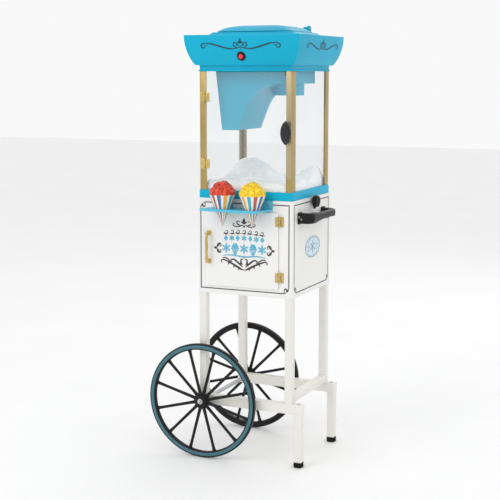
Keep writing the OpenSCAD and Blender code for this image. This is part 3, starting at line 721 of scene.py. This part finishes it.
spot, out = V(GLAND_X, WALL_Y, BUTTON_Z), Vector((0, cos(TILT), -sin(TILT)))
nut = [(3.5, 0.2), (9.2, 0.2), (10, 0.8), (10, 3.8), (9.2, 4.3), (3.5, 4.3)]
tube = [(3.5, -11), (5.9, -11), (5.9, 5.5), (5.7, 6.3), (5.6, 7), (5.2, 7.8), (3.5, 8)]
mesh = merge(lathe(nut, spot, out, 6, True), lathe(tube, spot, out, 32, True))
piece("cable_gland", *mesh, "black", "machine", ["cord_gland"], "black_plastic", 30)


# ---- case

# The tray under the case: its rim rolls over into the pan.
low, high = local_box("deck_tray")
z0, z1 = low.z, high.z
pan_x, pan_y = 136, 140
outside = ((1, z0), (0.3, z0 + 0.3), (0, z0 + 1), (0, z1 - 3.4), (0.25, z1 - 1.6), (1, z1 - 0.5), (2.2, z1))
inside = ((6, z1), (6.8, z1 - 0.3), (7, z1 - 1), (7, z0 + 7), (8, z0 + 5.6), (10, z0 + 5))
rings = [rr(0, 0, 130, 134, 4, z0)]
rings += [rr(0, 0, high.x - inset, high.y - inset, 4, z) for inset, z in outside]
rings += [rr(0, 0, pan_x - inset, pan_y - inset, 4, z) for inset, z in inside]
mesh = grow(rings)
piece("deck_pan", *mesh, "deck", "machine", ["deck_tray"], "blue_plastic", 45)


for node in ("post_front_left", "post_front_right", "rear_posts"):
    polish(node, "brass", 0.5, node + "_angle", 2, slot="brass")
for node in ("left_pane", "right_pane", "rear_pane", "front_sill"):
    recolor(node, "clear")
polish("case_door_pane", "clear", 0.8, "case_door_sheet", 2, slot="clear_acrylic")
polish("snow_chute", "blue_in", 1.4, "snow_chute_moulding", 3, slot="blue_plastic")
polish("drive_cover", "blue_in", 1.4, "drive_cover_moulding", 3, slot="blue_plastic")
for node, mat in (
    ("mechanism_plate", "steel"), ("ice_hopper", "grey"), ("motor", "steel"), ("drive_belt", "belt"),
    ("drive_pulley", "steel"), ("motor_pulley", "steel"), ("shaver_disc", "steel"), ("drain_spout", "grey"),
    ("door_magnets", "black"), ("wheel_axle", "steel"),
):
    recolor(node, mat)

# Hinges: the CAD leaves with softened edges, and two screws in each leaf.
CASE_HINGE_Z, STORE_HINGE_Z = (1018.5, 836), (684.5, 531)
for node, name in (
    ("fixed_hinge_leaves", "hinge_frame_leaves"), ("case_door_leaves", "case_hinge_leaves"),
    ("storage_door_leaves", "storage_hinge_leaves"),
):
    polish(node, "hinge", 0.35, name, 2, slot="brass")


def hinge_screws(x, heights, y):
    """Two countersunk screw heads in each leaf at x, facing the front."""
    head = [(1.9, 0), (1.9, 0.15), (1.52, 0.45), (0, 0.6)]
    spots = [V(x, y, z + dz) for z in heights for dz in (-9, 9)]
    return [lathe(head, spot, (0, -1, 0), 20) for spot in spots]


fixed = hinge_screws(-129.5, CASE_HINGE_Z, -141.2) + hinge_screws(112.8, STORE_HINGE_Z, -142.2)
piece("hinge_screws_fixed", *merge(*fixed), "hinge", "machine", slot="brass")
on_case = hinge_screws(-109.5, CASE_HINGE_Z, -145.7)
piece("hinge_screws_case_door", *merge(*on_case), "hinge", "case_door", slot="brass")
on_store = hinge_screws(97.5, STORE_HINGE_Z, -147.2)
piece("hinge_screws_storage_door", *merge(*on_store), "hinge", "storage_door_set", slot="brass")


def lens(cx, cz, hw, hh, scale, y):
    """A pointed oval in a plane of constant y, with its points blunted towards an ellipse."""
    blunt = 0.45
    arc_r = (hw * hw + hh * hh) / (2 * hw)
    a_max = asin(hh / arc_r)
    pts = []
    for side in (1, -1):
        for i in range(20):
            a = side * (-a_max + 2 * a_max * i / 20)
            z = arc_r * sin(a)
            arc = arc_r * cos(a) - (arc_r - hw)
            ellipse = hw * sqrt(max(0, 1 - (z / hh) ** 2))
            x = side * (arc * (1 - blunt) + ellipse * blunt)
            pts.append(V(cx + x * scale, y, cz + z * scale))
    return pts

# Pointed-oval knob with a raised rim and a hollowed face, on a short neck.
low, high = local_box("case_door_knob")
cx, cz = (low.x + high.x) / 2, (low.z + high.z) / 2
hw, hh = (high.x - low.x) / 2, (high.z - low.z) / 2
section = (
    (0.86, 9), (0.96, 8.6), (1, 7.4), (1, 3.2), (0.97, 1.2), (0.90, 0.3), (0.82, 0.2), (0.76, 0.9),
    (0.72, 1.9), (0.66, 2), (0.5, 1.2), (0.3, 0.6), (0.1, 0.35),
)
rings = [lens(cx, cz, hw, hh, scale, low.y + depth) for scale, depth in section]
neck = lathe([(7.6, 0), (7.6, 5.4), (9, 6.4)], V(cx, high.y, cz), (0, -1, 0), 32)
mesh = merge(grow(rings), neck)
piece("case_door_oval_knob", *mesh, "gloss", "case_door", ["case_door_knob"], "black_plastic", 40)


# Shaved ice heaped in the pan, highest at the back left.
SNOW_LOW, SNOW_HIGH = local_box("snow_heap")
SNOW_FLOOR, SILL_TOP = 784, 797
# Mounds of the heap: centre x and y, height and spread.
DRIFTS = (
    (-20, 20, 20, 80), (-88, 50, 38, 46), (-118, 80, 20, 40), (-35, 60, 26, 32), (5, -20, 14, 34),
    (108, 92, 34, 36),
)


def crumb(q, size, height):
    """Rounded granules: highest in the middle of each Voronoi cell."""
    near = noise.voronoi(q / size)[0][0]
    return height * sqrt(max(0, 1 - min(near, 1) ** 2))


def heap(x, y):
    """Height of the heap, lower along the panes and behind the front sill."""
    z = SNOW_FLOOR
    for px, py, top, wide in DRIFTS:
        z += top * exp(-((x - px) ** 2 + (y - py) ** 2) / wide**2)
    q = Vector((x, y, 0))
    lumps = 6 * noise.noise(q / 34) + 5 * noise.noise(q / 14)
    fine = crumb(q, 11, 4.5) + crumb(q + Vector((5, 3, 1)), 5, 1.8) + 0.8 * noise.noise(q / 2.4)
    z = min(z - 5 + lumps + fine, SNOW_HIGH.z)
    edge = min(x - SNOW_LOW.x, SNOW_HIGH.x - x, y - SNOW_LOW.y, SNOW_HIGH.y - y)
    z -= 14 * max(0, 1 - edge / 9) ** 2
    return min(z, SILL_TOP) if y < -120 else z

# A grid over the pan, with walls down to the pan's floor.
nx, ny = 120, 124
w = nx + 1
verts, faces = [], []
for j in range(ny + 1):
    y = SNOW_LOW.y + (SNOW_HIGH.y - SNOW_LOW.y) * j / ny
    for i in range(w):
        x = SNOW_LOW.x + (SNOW_HIGH.x - SNOW_LOW.x) * i / nx
        verts.append(V(x, y, heap(x, y)))
for j in range(ny):
    for i in range(nx):
        a = j * w + i
        faces.append((a, a + 1, a + w + 1, a + w))
rim = list(range(w)) + [j * w + nx for j in range(1, ny + 1)]
rim += [ny * w + i for i in range(nx - 1, -1, -1)] + [j * w for j in range(ny - 1, 0, -1)]
start = len(verts)
for i in rim:
    verts.append(Vector((verts[i].x, verts[i].y, SNOW_LOW.z / 1000)))
for k in range(len(rim)):
    q = (k + 1) % len(rim)
    faces.append((rim[k], start + k, start + q, rim[q]))
faces.append(tuple(range(start, len(verts))))
piece("shaved_ice_heap", verts, faces, "snow", "machine", ["snow_heap"], "shaved_ice", 80)


# ---- cone shelf, cones

polish("cone_shelf", "shelf", 1.1, "cone_shelf_moulding", 3, slot="light_blue_plastic")
CONE_SLOPE = 0.41
STRIPES, WHITE_FROM = 12, 0.62


def paper_cone(name, node, body, first):
    """A paper cup with a rolled rim. The stripes start with colour number first."""
    low, high = local_box(node)
    c = V((low.x + high.x) / 2, (low.y + high.y) / 2, 0)
    radius, top = (high.x - low.x) / 2, high.z
    tip = top - radius / CONE_SLOPE
    n = 144

    def ring(r, z):
        return [c + Vector((r * cos(a) / 1000, r * sin(a) / 1000, z / 1000)) for a in turn(n)]

    rolled = ((2.6, -2), (1, -0.3), (0.4, 0.3), (0, -0.2), (0.1, -1.4))
    rings = [ring(radius - inset, top + z) for inset, z in rolled]
    for i in range(1, 15):
        z = top - (top - tip) * (i / 14)
        rings.append(ring(max(CONE_SLOPE * (z - tip), 0.25), z))
    verts, faces = grow(rings, cap_start=False)
    period = 2 * pi / STRIPES
    mats = []
    for f in faces:
        p = sum((verts[i] for i in f), Vector()) / len(f) - c
        a = atan2(p.y, p.x) % (2 * pi)
        k, t = int(a / period), (a % period) / period
        mats.append(0 if t > WHITE_FROM else 1 + (k + first) % 4)
    mats[: 2 * n] = [0] * (2 * n)
    piece(name, verts, faces, None, body, [node], "cup_paper", 50, CUP, mats)


def mound(name, node, body, mat, slot, seed):
    """Flavoured ice: a bulging cone of granules that stays within the cup's rim."""
    top = local_box(node)[1].z + 1
    cup_low, cup_high = local_box(node.replace("ice", "cup"))
    c = V((cup_low.x + cup_high.x) / 2, (cup_low.y + cup_high.y) / 2, 0)
    rim_r, rim_z = (cup_high.x - cup_low.x) / 2, cup_high.z
    n, m = 128, 44
    rings = []
    for k in range(m + 1):
        t = k / m
        r = (rim_r + 0.4) * max(0, 1 - t**1.5) ** 0.6
        z = rim_z - 1.5 + (top - rim_z - 1.5) * t
        spread = (0.35 + 0.65 * min(1, t * 6)) * min(1, r / 5)
        most = rim_r - (1.0 if t < 0.04 else 0.1)
        ring = []
        for a in turn(n):
            d = Vector((cos(a), sin(a), 0))
            q = Vector((r * d.x, r * d.y, z + seed))
            lump = 2.4 * noise.noise(q / 11) + crumb(q, 5.6, 3) + crumb(q + Vector((9, 4, 2)), 2.8, 1) - 1.8
            grown = d * (r + lump * spread) + Vector((0, 0, z + lump * 0.7 * t))
            rad = hypot(grown.x, grown.y)
            if rad > most:
                grown.x *= most / rad
                grown.y *= most / rad
            ring.append(c + Vector((grown.x, grown.y, min(grown.z, top + 0.5))) / 1000)
        rings.append(ring)
    piece(name, *grow(rings), mat, body, [node], slot, 80)


paper_cone("striped_cone_left", "left_cup", "left_cone", 0)
paper_cone("striped_cone_right", "right_cup", "right_cone", 2)
mound("cherry_mound", "left_ice", "left_cone", "red_ice", "red_ice", 11)
mound("lemon_mound", "right_ice", "right_cone", "yellow_ice", "yellow_ice", 47)

# ---- cabinet

for node in (
    "cabinet_floor", "cabinet_left_panel", "cabinet_right_panel", "cabinet_back_panel", "cabinet_front_frame",
):
    polish(node, "white", 0.6, node + "_sheet", 2, slot="white_enamel")
polish("storage_door", "white", 1.1, "storage_door_panel", 3, slot="white_enamel")

cab_low, cab_high = local_box("cabinet_front_frame")
CAB_FRONT, CAB_SIDE = cab_low.y, cab_high.x
LINE_LOW, LINE_HIGH = 488, 729.5


def frame_line(u0, u1, corners):
    """A printed rectangle with an ornament in the listed corners."""
    r, w = 15, 2.8
    v0, v1 = LINE_LOW, LINE_HIGH
    gap = {(su, sv): r if (su, sv) in corners else 0 for su in (-1, 1) for sv in (-1, 1)}
    strokes = [
        [(u0 + gap[-1, -1], v0, w), (u1 - gap[1, -1], v0, w)],
        [(u0 + gap[-1, 1], v1, w), (u1 - gap[1, 1], v1, w)],
        [(u0, v0 + gap[-1, -1], w), (u0, v1 - gap[-1, 1], w)],
        [(u1, v0 + gap[1, -1], w), (u1, v1 - gap[1, 1], w)],
    ]
    blobs = []
    for su, sv in ((-1, -1), (1, -1), (-1, 1), (1, 1)):
        cu, cv = (u1 if su > 0 else u0), (v1 if sv > 0 else v0)

        def inward(du, dv, width):
            return (cu - su * du, cv - sv * dv, width)

        if gap[su, sv]:
            for a0 in (0, 90):
                curl = spiral(0, 0, 8.5, 2, a0 - 60, a0 + 200, 2.4, 1.3, 20)
                strokes.append([inward(8 + p[0] * 0.8, 8 + p[1] * 0.8, p[2]) for p in curl])
            blobs.append(dot(cu - su * 4.5, cv - sv * 8, 3.4))
            strokes.append([inward(r, 0, w), inward(r - 4, 1.5, w * 0.8), inward(7, 3, 1)])
            strokes.append([inward(0, r, w), inward(1.5, r - 4, w * 0.8), inward(3, 7, 1)])
        else:
            h = w / 2
            blobs.append([(cu - h, cv - h), (cu + h, cv - h), (cu + h, cv + h), (cu - h, cv + h)])
    return strokes, blobs

front = frame_line(-134.5, 131.5, {(-1, 1), (1, -1)})
side = frame_line(-129, 129, {(-1, -1), (1, -1)})
ink = "ink_line"
printed("front_frame_print", *front, lambda u, v: V(u, CAB_FRONT - FLAT_INK, v), ink, "machine")
printed("right_frame_print", *side, lambda u, v: V(CAB_SIDE + FLAT_INK, u, v), ink, "machine")
printed("left_frame_print", *side, lambda u, v: V(-CAB_SIDE - FLAT_INK, u, v), ink, "machine")


# Door picture: rows of snowflakes, diamonds and small snow cones between scrolls, with no lettering.
DOOR_FACE = local_box("storage_door")[0].y
ROW_Z, SMALL_ROW_Z, CURL_ROW_Z = 605, 632, 650
WAVE = pi / 120  # the upper rows rise a little towards the middle


def on_door(u, v):
    return V(u, DOOR_FACE - FLAT_INK, v)


def top_ornament():
    leaves = [leaf(0, 673, 18, 8, 90), leaf(0, 673, 12, 4.2, 128, 0.25), leaf(0, 673, 12, 4.2, 52, -0.25)]
    loops = [
        smooth_path([
            (-3, 671, 1.6), (-10, 669, 3.4), (-18, 672, 3.8), (-22, 678, 3), (-17, 681.5, 2.4),
            (-13, 678, 1.8),
        ], 7),
        smooth_path([(-11, 667, 1.4), (-24, 665.5, 3), (-33, 670, 2.6), (-31, 675, 1.8), (-27, 674, 1.2)], 7),
    ]
    return leaves, loops


def bottom_scroll():
    return [
        smooth_path([
            (0, 546, 1.8), (-8, 548, 4.4), (-20, 554, 6), (-34, 561, 5.2), (-48, 567, 4.4), (-63, 572, 3.6),
            (-70, 568, 2.8), (-66, 564, 1.8),
        ], 7),
        smooth_path([
            (-4, 554, 1.8), (-12, 561, 4.8), (-22, 569, 5.2), (-31, 574.5, 4), (-40, 572, 3.2),
            (-36, 566, 2.2),
        ], 7),
        smooth_path([(-4, 560, 1.6), (-9, 567, 4.2), (-8.5, 575, 3.6), (-2.5, 576, 2.4)], 7),
        smooth_path([(-40, 566, 1.8), (-49, 574, 3.6), (-59, 578, 3), (-66, 575, 1.8)], 7),
        leaf(-14, 555, 11, 4.6, 250, 0.1),
        leaf(-28, 561, 11, 4.2, 245, 0.1),
        leaf(-44, 567, 10, 3.6, 240, 0.1),
    ]


def side_ornament():
    return [
        leaf(-92, 604, 10, 6.6, 0), leaf(-84, 604, 16, 4.6, 62, -0.3), leaf(-84, 604, 16, 4.6, -62, 0.3),
        *(smooth_path([
            (-83, 604 + s * 2, 1.4), (-80, 604 + s * 11, 2.6), (-73, 604 + s * 13, 2.8), (-70, 604 + s * 7, 2.4),
            (-74, 604 + s * 4, 1.6),
        ], 6) for s in (1, -1)),
    ]

leaves, loops = top_ornament()
strokes = leaves + mirrored(loops + bottom_scroll() + side_ornament())
for k, u in enumerate((-54, -36, -18, 0, 18, 36, 54)):
    v = CURL_ROW_Z + 3.5 * cos(u * WAVE)
    strokes.append(spiral(u, v, 6.4, 1.4, 200 + 40 * (k % 2), 560, 2.8, 1.3, 20))
    strokes.append([(u - 9, v - 6, 1), (u, v - 7.2, 2.4), (u + 9, v - 6, 1)])
blobs = [dot(0, 667, 3), dot(-9, 564.5, 3.4), dot(9, 564.5, 3.4), dot(0, 581, 2.4)]
printed("door_dark_print", strokes, blobs, on_door, "ink_dark", "storage_door_set")


def ice_cone(cu, cv, k):
    """A small snow cone: outlined cup with three folds, a rim and a puff of ice."""
    half = 9.5 * k
    lines = [[(cu - half, cv, 2.8), (cu, cv - 21 * k, 3.2), (cu + half, cv, 2.8)]]
    for t in (-0.45, 0, 0.45):
        lines.append([(cu + half * t, cv, 2.6), (cu + t * 1.5, cv - 16 * k, 1)])
    lines.append([(cu - half - 1.5, cv, 3.4), (cu + half + 1.5, cv, 3.4)])
    arc = [radians(a) for a in range(0, 181, 9)]
    puff = [(cu + half * cos(a), cv + 2 + 12 * k * sin(a) + 0.8 * sin(a * 7)) for a in arc]
    return lines, puff

strokes, blobs = [], []
for u in (-54, 0, 54):
    strokes += snowflake(u, ROW_Z, 13.5, 3.8)
    blobs.append(dot(u, ROW_Z, 4.4))
for u in (-27, 27):
    lines, puff = ice_cone(u, ROW_Z, 1.05)
    strokes += lines
    blobs.append(puff)
for k, u in enumerate((-55, -37, -19, 0, 19, 37, 55)):
    v = SMALL_ROW_Z + 2.5 * cos(u * WAVE)
    if k % 2:
        strokes += snowflake(u, v, 8.5, 3)
    else:
        blobs.append([(u - 6.5, v), (u, v - 9), (u + 6.5, v), (u, v + 9)])
ribbon = [(-66, 583, 1.4), (-40, 586, 3.6), (0, 583, 4.2), (40, 586, 3.6), (66, 583, 1.4)]
strokes.append(smooth_path(ribbon, 8))
printed("door_sky_print", strokes, blobs, on_door, "ink_sky", "storage_door_set")

# Oval badge on the handle side, with a snowflake in place of lettering.
y, z = 7, 600.6

def oval(hy, hz, n):
    return [(y + hy * cos(a), z + hz * sin(a)) for a in (2 * pi * i / 64 for i in range(n))]

ground, ink = lambda u, v: V(CAB_SIDE + 0.2, u, v), lambda u, v: V(CAB_SIDE + INK, u, v)
printed("side_badge_ground", [], [oval(53, 27.5, 64)], ground, "ink_pale", "machine")
strokes = []
for scale, width in ((1, 3), (0.86, 1.2)):
    strokes.append([(*p, width) for p in oval(55 * scale, 29 * scale, 65)])
strokes += snowflake(y, z, 19, 2.6)
strokes += mirrored([
    smooth_path([(y - 42, z, 1.2), (y - 34, 606, 2.6), (y - 26, z, 2.6), (y - 21, 596, 1.2)], 6),
    smooth_path([(y - 40, 595, 1), (y - 32, 591, 2.4), (y - 24, 590, 1.2)], 6),
], y)
printed("side_badge_print", strokes, [dot(y, z, 3.4)], ink, "ink_badge", "machine")

# Brass pull: a bar that bows out between two turned feet.
low, high = local_box("storage_door_pull")
x, y_bar, y_door = (low.x + high.x) / 2, low.y + 4, high.y
feet = (566, 645)
last = 28
path, scales = [], []
for i in range(last + 1):
    t = i / last
    away = 1 - max(0, 1 - min(t, 1 - t) / 0.10) ** 2
    path.append(V(x, y_door - 0.5 + (y_bar - y_door + 0.5) * away, feet[0] + (feet[1] - feet[0]) * t))
    thick = 1 + 0.5 * max(0, 1 - min(i, last - i) / 3.5)
    scales.append((thick * (1.05 - 0.12 * abs(i - 14) / 14), thick))
parts = [sweep(path, superellipse(3.8, 3.6, 20, 2), (1, 0, 0), scales)]
rose = [(8, 0), (8, 0.9), (7.4, 1.5), (6.2, 1.7), (5.4, 2.6), (4.2, 3.2), (0, 3.3)]
knuckle = [(4.3, 0), (4.7, 1.2), (4.3, 2.6), (3.4, 3.2), (0, 3.4)]
for z in feet:
    parts.append(lathe(rose, V(x, y_door, z), (0, -1, 0), 36))
    parts.append(lathe(knuckle, V(x, y_bar + 1.6, z), (0, -1, 0), 28))
mesh = merge(*parts)
piece("brass_bow_pull", *mesh, "hinge", "storage_door_set", ["storage_door_pull"], "brass", 40)


# ---- handle and drain cap

# A grip with finger waves, bent round into two mounting plates.
low, high = local_box("push_handle")
z = (low.z + high.z) / 2
grip_x, bend = high.x - 11, 14
y0, y1 = low.y + 9, high.y - 8
near, far = [radians(a) for a in range(15, 91, 15)], [radians(a) for a in range(0, 91, 15)]
pts = [(CAB_SIDE + 1, y0), (grip_x - bend, y0)]
pts += [(grip_x - bend + bend * sin(a), y0 + bend * (1 - cos(a))) for a in near]
pts += [(grip_x, y0 + bend + (y1 - y0 - 2 * bend) * i / 22) for i in range(1, 22)]
pts += [(grip_x - bend * (1 - cos(a)), y1 - bend + bend * sin(a)) for a in far]
pts.append((CAB_SIDE + 1, y1))
path, scales = [], []
for x, y in pts:
    t = (y - y0) / (y1 - y0)
    tall = 1.38 - 0.42 * min(1, max(0, (t - 0.16) / 0.2)) + 0.12 * min(1, max(0, (t - 0.82) / 0.18))
    wave = 0.05 * sin(t * 22) if 0.3 < t < 0.85 else 0
    path.append(V(x, y, z))
    scales.append((0.98, tall + wave))
mesh = merge(
    sweep(path, superellipse(10.4, 10.6, 28, 3.4), (0, 0, 1), scales),
    pill(CAB_SIDE, CAB_SIDE + 8, low.y, low.y + 22, z - 16, z + 16, 2.2, 3),
    pill(CAB_SIDE, CAB_SIDE + 8, high.y - 20, high.y, z - 15, z + 15, 2.2, 3),
)
piece("push_handle_moulding", *mesh, "black", "machine", ["push_handle"], "black_plastic", 42)

# A round cap with grip ribs, a raised bar and a tab below.
z, n = 729.5, 72
profile = (
    (9.1, 148), (15.4, 148), (16.4, 149), (16.4, 158.6), (15.6, 160.8), (13.4, 161.8), (11, 161.2),
    (10.4, 160.2), (4, 160.2), (0.1, 160.4),
)
rings = []
for k, (r, x) in enumerate(profile):
    ring = []
    for i, a in enumerate(turn(n)):
        rad = r * (1 - (0.035 if k in (2, 3) and i % 3 == 0 else 0))
        ring.append(V(x, rad * cos(a), z + rad * sin(a)))
    rings.append(ring)
tab = pill(149.4, 156, -12, -3, z - 20, z - 12, 1.8, 3)
bar = pill(158.6, 161.9, -2.4, 2.4, z - 10, z + 10, 1.2, 1.4)
mesh = merge(grow(rings, cap_start=False), tab, bar)
piece("drain_cap_moulding", *mesh, "black", "drain_stopper", ["drain_cap"], "black_plastic", 30)


# ---- frame

for node in (
    "leg_front_left", "leg_front_right", "leg_rear_left", "leg_rear_right", "cross_rail", "lower_legs",
):
    polish(node, "cream", 0.3, node + "_tube", 1, slot="ivory_paint")
for node in ("rail_front", "rail_rear"):
    polish(node, "cream", 2.2, node + "_tube", 3, slot="ivory_paint")
LEG_X, LEG_Y = 158.5, 129.5
AXLE_X, AXLE_Z = -125, 165

# Each foot is a square sleeve with two shallow grooves, as (inset, height).
section = (
    (3, 0), (1.2, 0.2), (0.2, 1.2), (0, 3), (0.9, 4.2), (0.9, 5), (0, 6), (0, 9), (0.9, 10), (0.9, 10.8),
    (0, 11.8), (0, 13.6), (0.6, 14.7), (1.6, 15),
)
parts = []
for side in (-1, 1):
    rings = [rr(LEG_X, side * LEG_Y, 13 - inset, 13 - inset, 9 - inset, z, 8, 2) for inset, z in section]
    parts.append(grow(rings))
piece("ribbed_rubber_feet", *merge(*parts), "rubber", "machine", ["rubber_feet"], "black_rubber", 50)


def cap_screw(p, axis, r, h):
    """A screw head with a hollow for the key."""
    head = [(r, 0), (r, h * 0.5), (r * 0.9, h * 0.85), (r * 0.55, h), (r * 0.5, h * 0.55), (0, h * 0.5)]
    return lathe(head, p, axis, 28)

# On the lower legs, on the handle's front plate and on the cone shelf's tabs.
ahead = (0, -1, 0)
parts = [cap_screw(V(158, side * LEG_Y, 178.5), (0, 0, 1), 4.5, 2.5) for side in (-1, 1)]
parts += [cap_screw(V(x, -108, z), ahead, 2.8, 2) for x, z in ((147.5, 696), (154, 690))]
parts += [cap_screw(V(x, -143, 731), ahead, 3, 1.5) for x in (-75, 70)]
piece("cap_screws", *merge(*parts), "steel", "machine", ["frame_bolts"], "bright_steel", 30)

# A dome cap at each end of the axle and a washer against each rail.
dome = [
    (7.2, 0), (7.9, 0.5), (7.9, 1.6), (7.2, 2.2), (5.6, 2.4), (5.5, 5.4), (5.1, 6.6), (3.6, 8), (1.6, 8.6),
    (0, 8.7),
]
washer = [(6.05, 0), (9.4, 0), (10, 0.4), (10, 2.3), (9.4, 2.7), (6.05, 2.7)]
parts = []
for side in (-1, 1):
    parts.append(lathe(dome, V(AXLE_X, side * 172.3, AXLE_Z), (0, side, 0), 40))
    parts.append(lathe(washer, V(AXLE_X, side * 141, AXLE_Z), (0, side, 0), 40, True))
piece("axle_dome_caps", *merge(*parts), "steel", "machine", ["axle_caps"], "bright_steel", 40)


# ---- wheels

SPOKES = 12
# Rim and ring sections: how far in from the tread, and how far out from the wheel's middle plane.
RIM_SECTION = (
    (18, -3), (17.4, -5.6), (14, -7.4), (4, -8), (1.4, -7), (0.3, -4.5), (0, 0), (0.3, 4.5), (1, 6.2),
    (2.2, 7.2), (3.8, 7.5), (4.4, 6.9), (14, 6.9), (14.4, 7.4), (16.4, 6.8), (17.6, 5), (18, 3),
)
RING_SECTION = (
    (4.2, 6.8), (4.6, 7.4), (5.8, 8.1), (7.4, 8.5), (9.2, 8.6), (11, 8.4), (12.6, 7.9), (13.8, 7.2),
    (14.2, 6.8),
)
HUB_SECTION = (
    (6.1, 11.2), (9, 11.2), (9.6, 12), (14.6, 12), (16.6, 11.4), (17.7, 10), (18, 8), (18.2, 5.8), (20, 5.2),
    (22.4, 4.8), (23.6, 3.8), (24, 2), (24, -2), (23.4, -4.2), (21, -5), (18.2, -5.4), (17.6, -9),
    (16.4, -15), (14.5, -16), (6.1, -16),
)
# Along a spoke: radius, and its width and thickness as shares of the middle's.
SPOKE_RUN = (
    (14, 1.3, 1.25), (22, 1.2, 1.2), (28, 1.08, 1.1), (42, 1, 1), (80, 0.95, 0.95), (120, 0.93, 0.95),
    (138, 1, 1.05), (144, 1.2, 1.2), (149, 1.4, 1.3),
)


def wheel(node, body, side):
    """Rim, hub and tapered spokes in one moulding, with a painted ring on the outer face."""
    low, high = local_box(node)
    o = V((low.x + high.x) / 2, side * 160, (low.z + high.z) / 2)
    radius = (high.z - low.z) / 2
    axis = (0, side, 0)
    parts = [lathe([(radius - i, h) for i, h in RIM_SECTION], o, axis, 128, True)]
    parts.append(lathe(HUB_SECTION, o, axis, 64, True))
    rivet = [(2.6, 0), (2.6, 0.8), (2, 1.4), (0, 1.6)]
    for k in range(SPOKES):
        a = 2 * pi * (k + 0.5) / SPOKES
        d = Vector((cos(a), 0, sin(a)))
        path = [o + d * (r / 1000) for r, _, _ in SPOKE_RUN]
        scales = [(wide, thick) for _, wide, thick in SPOKE_RUN]
        parts.append(sweep(path, superellipse(4.5, 3, 16, 2.6), (0, 1, 0), scales))
        parts.append(lathe(rivet, o + d * 0.0208 + Vector((0, side * 0.0046, 0)), axis, 16))
    piece(body + "_spoked", *merge(*parts), "black", body, [node], "black_plastic", 36)
    mesh = lathe([(radius - i, h) for i, h in RING_SECTION], o, axis, 128, True)
    piece(body + "_blue_band", *mesh, "stripe", body, slot="black_plastic", smooth=40)


wheel("wheel_front", "front_wheel", -1)
wheel("wheel_rear", "rear_wheel", 1)

# ---- stage, lights, camera

mat = shader("studio_floor", (0.90, 0.90, 0.90), 0.6)
tint(mat, add_noise(mat, 3, 4), (0.89, 0.89, 0.89), (0.91, 0.91, 0.91))
half = 14
me = bpy.data.meshes.new("floor")
me.from_pydata([(-half, -half, 0), (half, -half, 0), (half, half, 0), (-half, half, 0)], [], [(0, 1, 2, 3)])
me.materials.append(mat)
floor = bpy.data.objects.new("floor", me)
bpy.context.scene.collection.objects.link(floor)

world = bpy.data.worlds.new("studio")
world.use_nodes = True
background = world.node_tree.nodes["Background"]
background.inputs["Color"].default_value = (1, 1, 1, 1)
background.inputs["Strength"].default_value = 0.95
bpy.context.scene.world = world
bpy.context.scene.view_settings.view_transform = "Standard"


def aim(o, place, direction):
    """Puts a light or camera at a place, looking along a direction."""
    o.location = place
    o.rotation_mode = "QUATERNION"
    o.rotation_quaternion = direction.to_track_quat("-Z", "Y")
    bpy.context.scene.collection.objects.link(o)


def area(name, place, target, power, side):
    data = bpy.data.lights.new(name, "AREA")
    data.energy = power
    data.size = side
    data.shape = "SQUARE"
    aim(bpy.data.objects.new(name, data), place, Vector(target) - Vector(place))

# A long lens from the front right, a little above the case.
cam = bpy.data.cameras.new("camera")
cam.lens = 85.43
cam.sensor_width = 36
cam.clip_end = 100
azimuth, yaw, pitch = (radians(a) for a in (23.65, 24.40, 8.45))
reach, height = 3358.4, 1081.25
look = Vector((-sin(yaw) * cos(pitch), cos(yaw) * cos(pitch), -sin(pitch)))
eye = bpy.data.objects.new("camera", cam)
aim(eye, V(reach * sin(azimuth), -reach * cos(azimuth), height), look)
bpy.context.scene.camera = eye


area("key_light", (-1.6, -3.4, 3), (0, 0, 0.7), 34, 2.2)
area("fill_light", (3.2, -1.6, 1.8), (0, 0, 0.7), 8, 2)
area("rim_light", (0.4, 2.8, 2.8), (0, 0, 0.8), 14, 2)
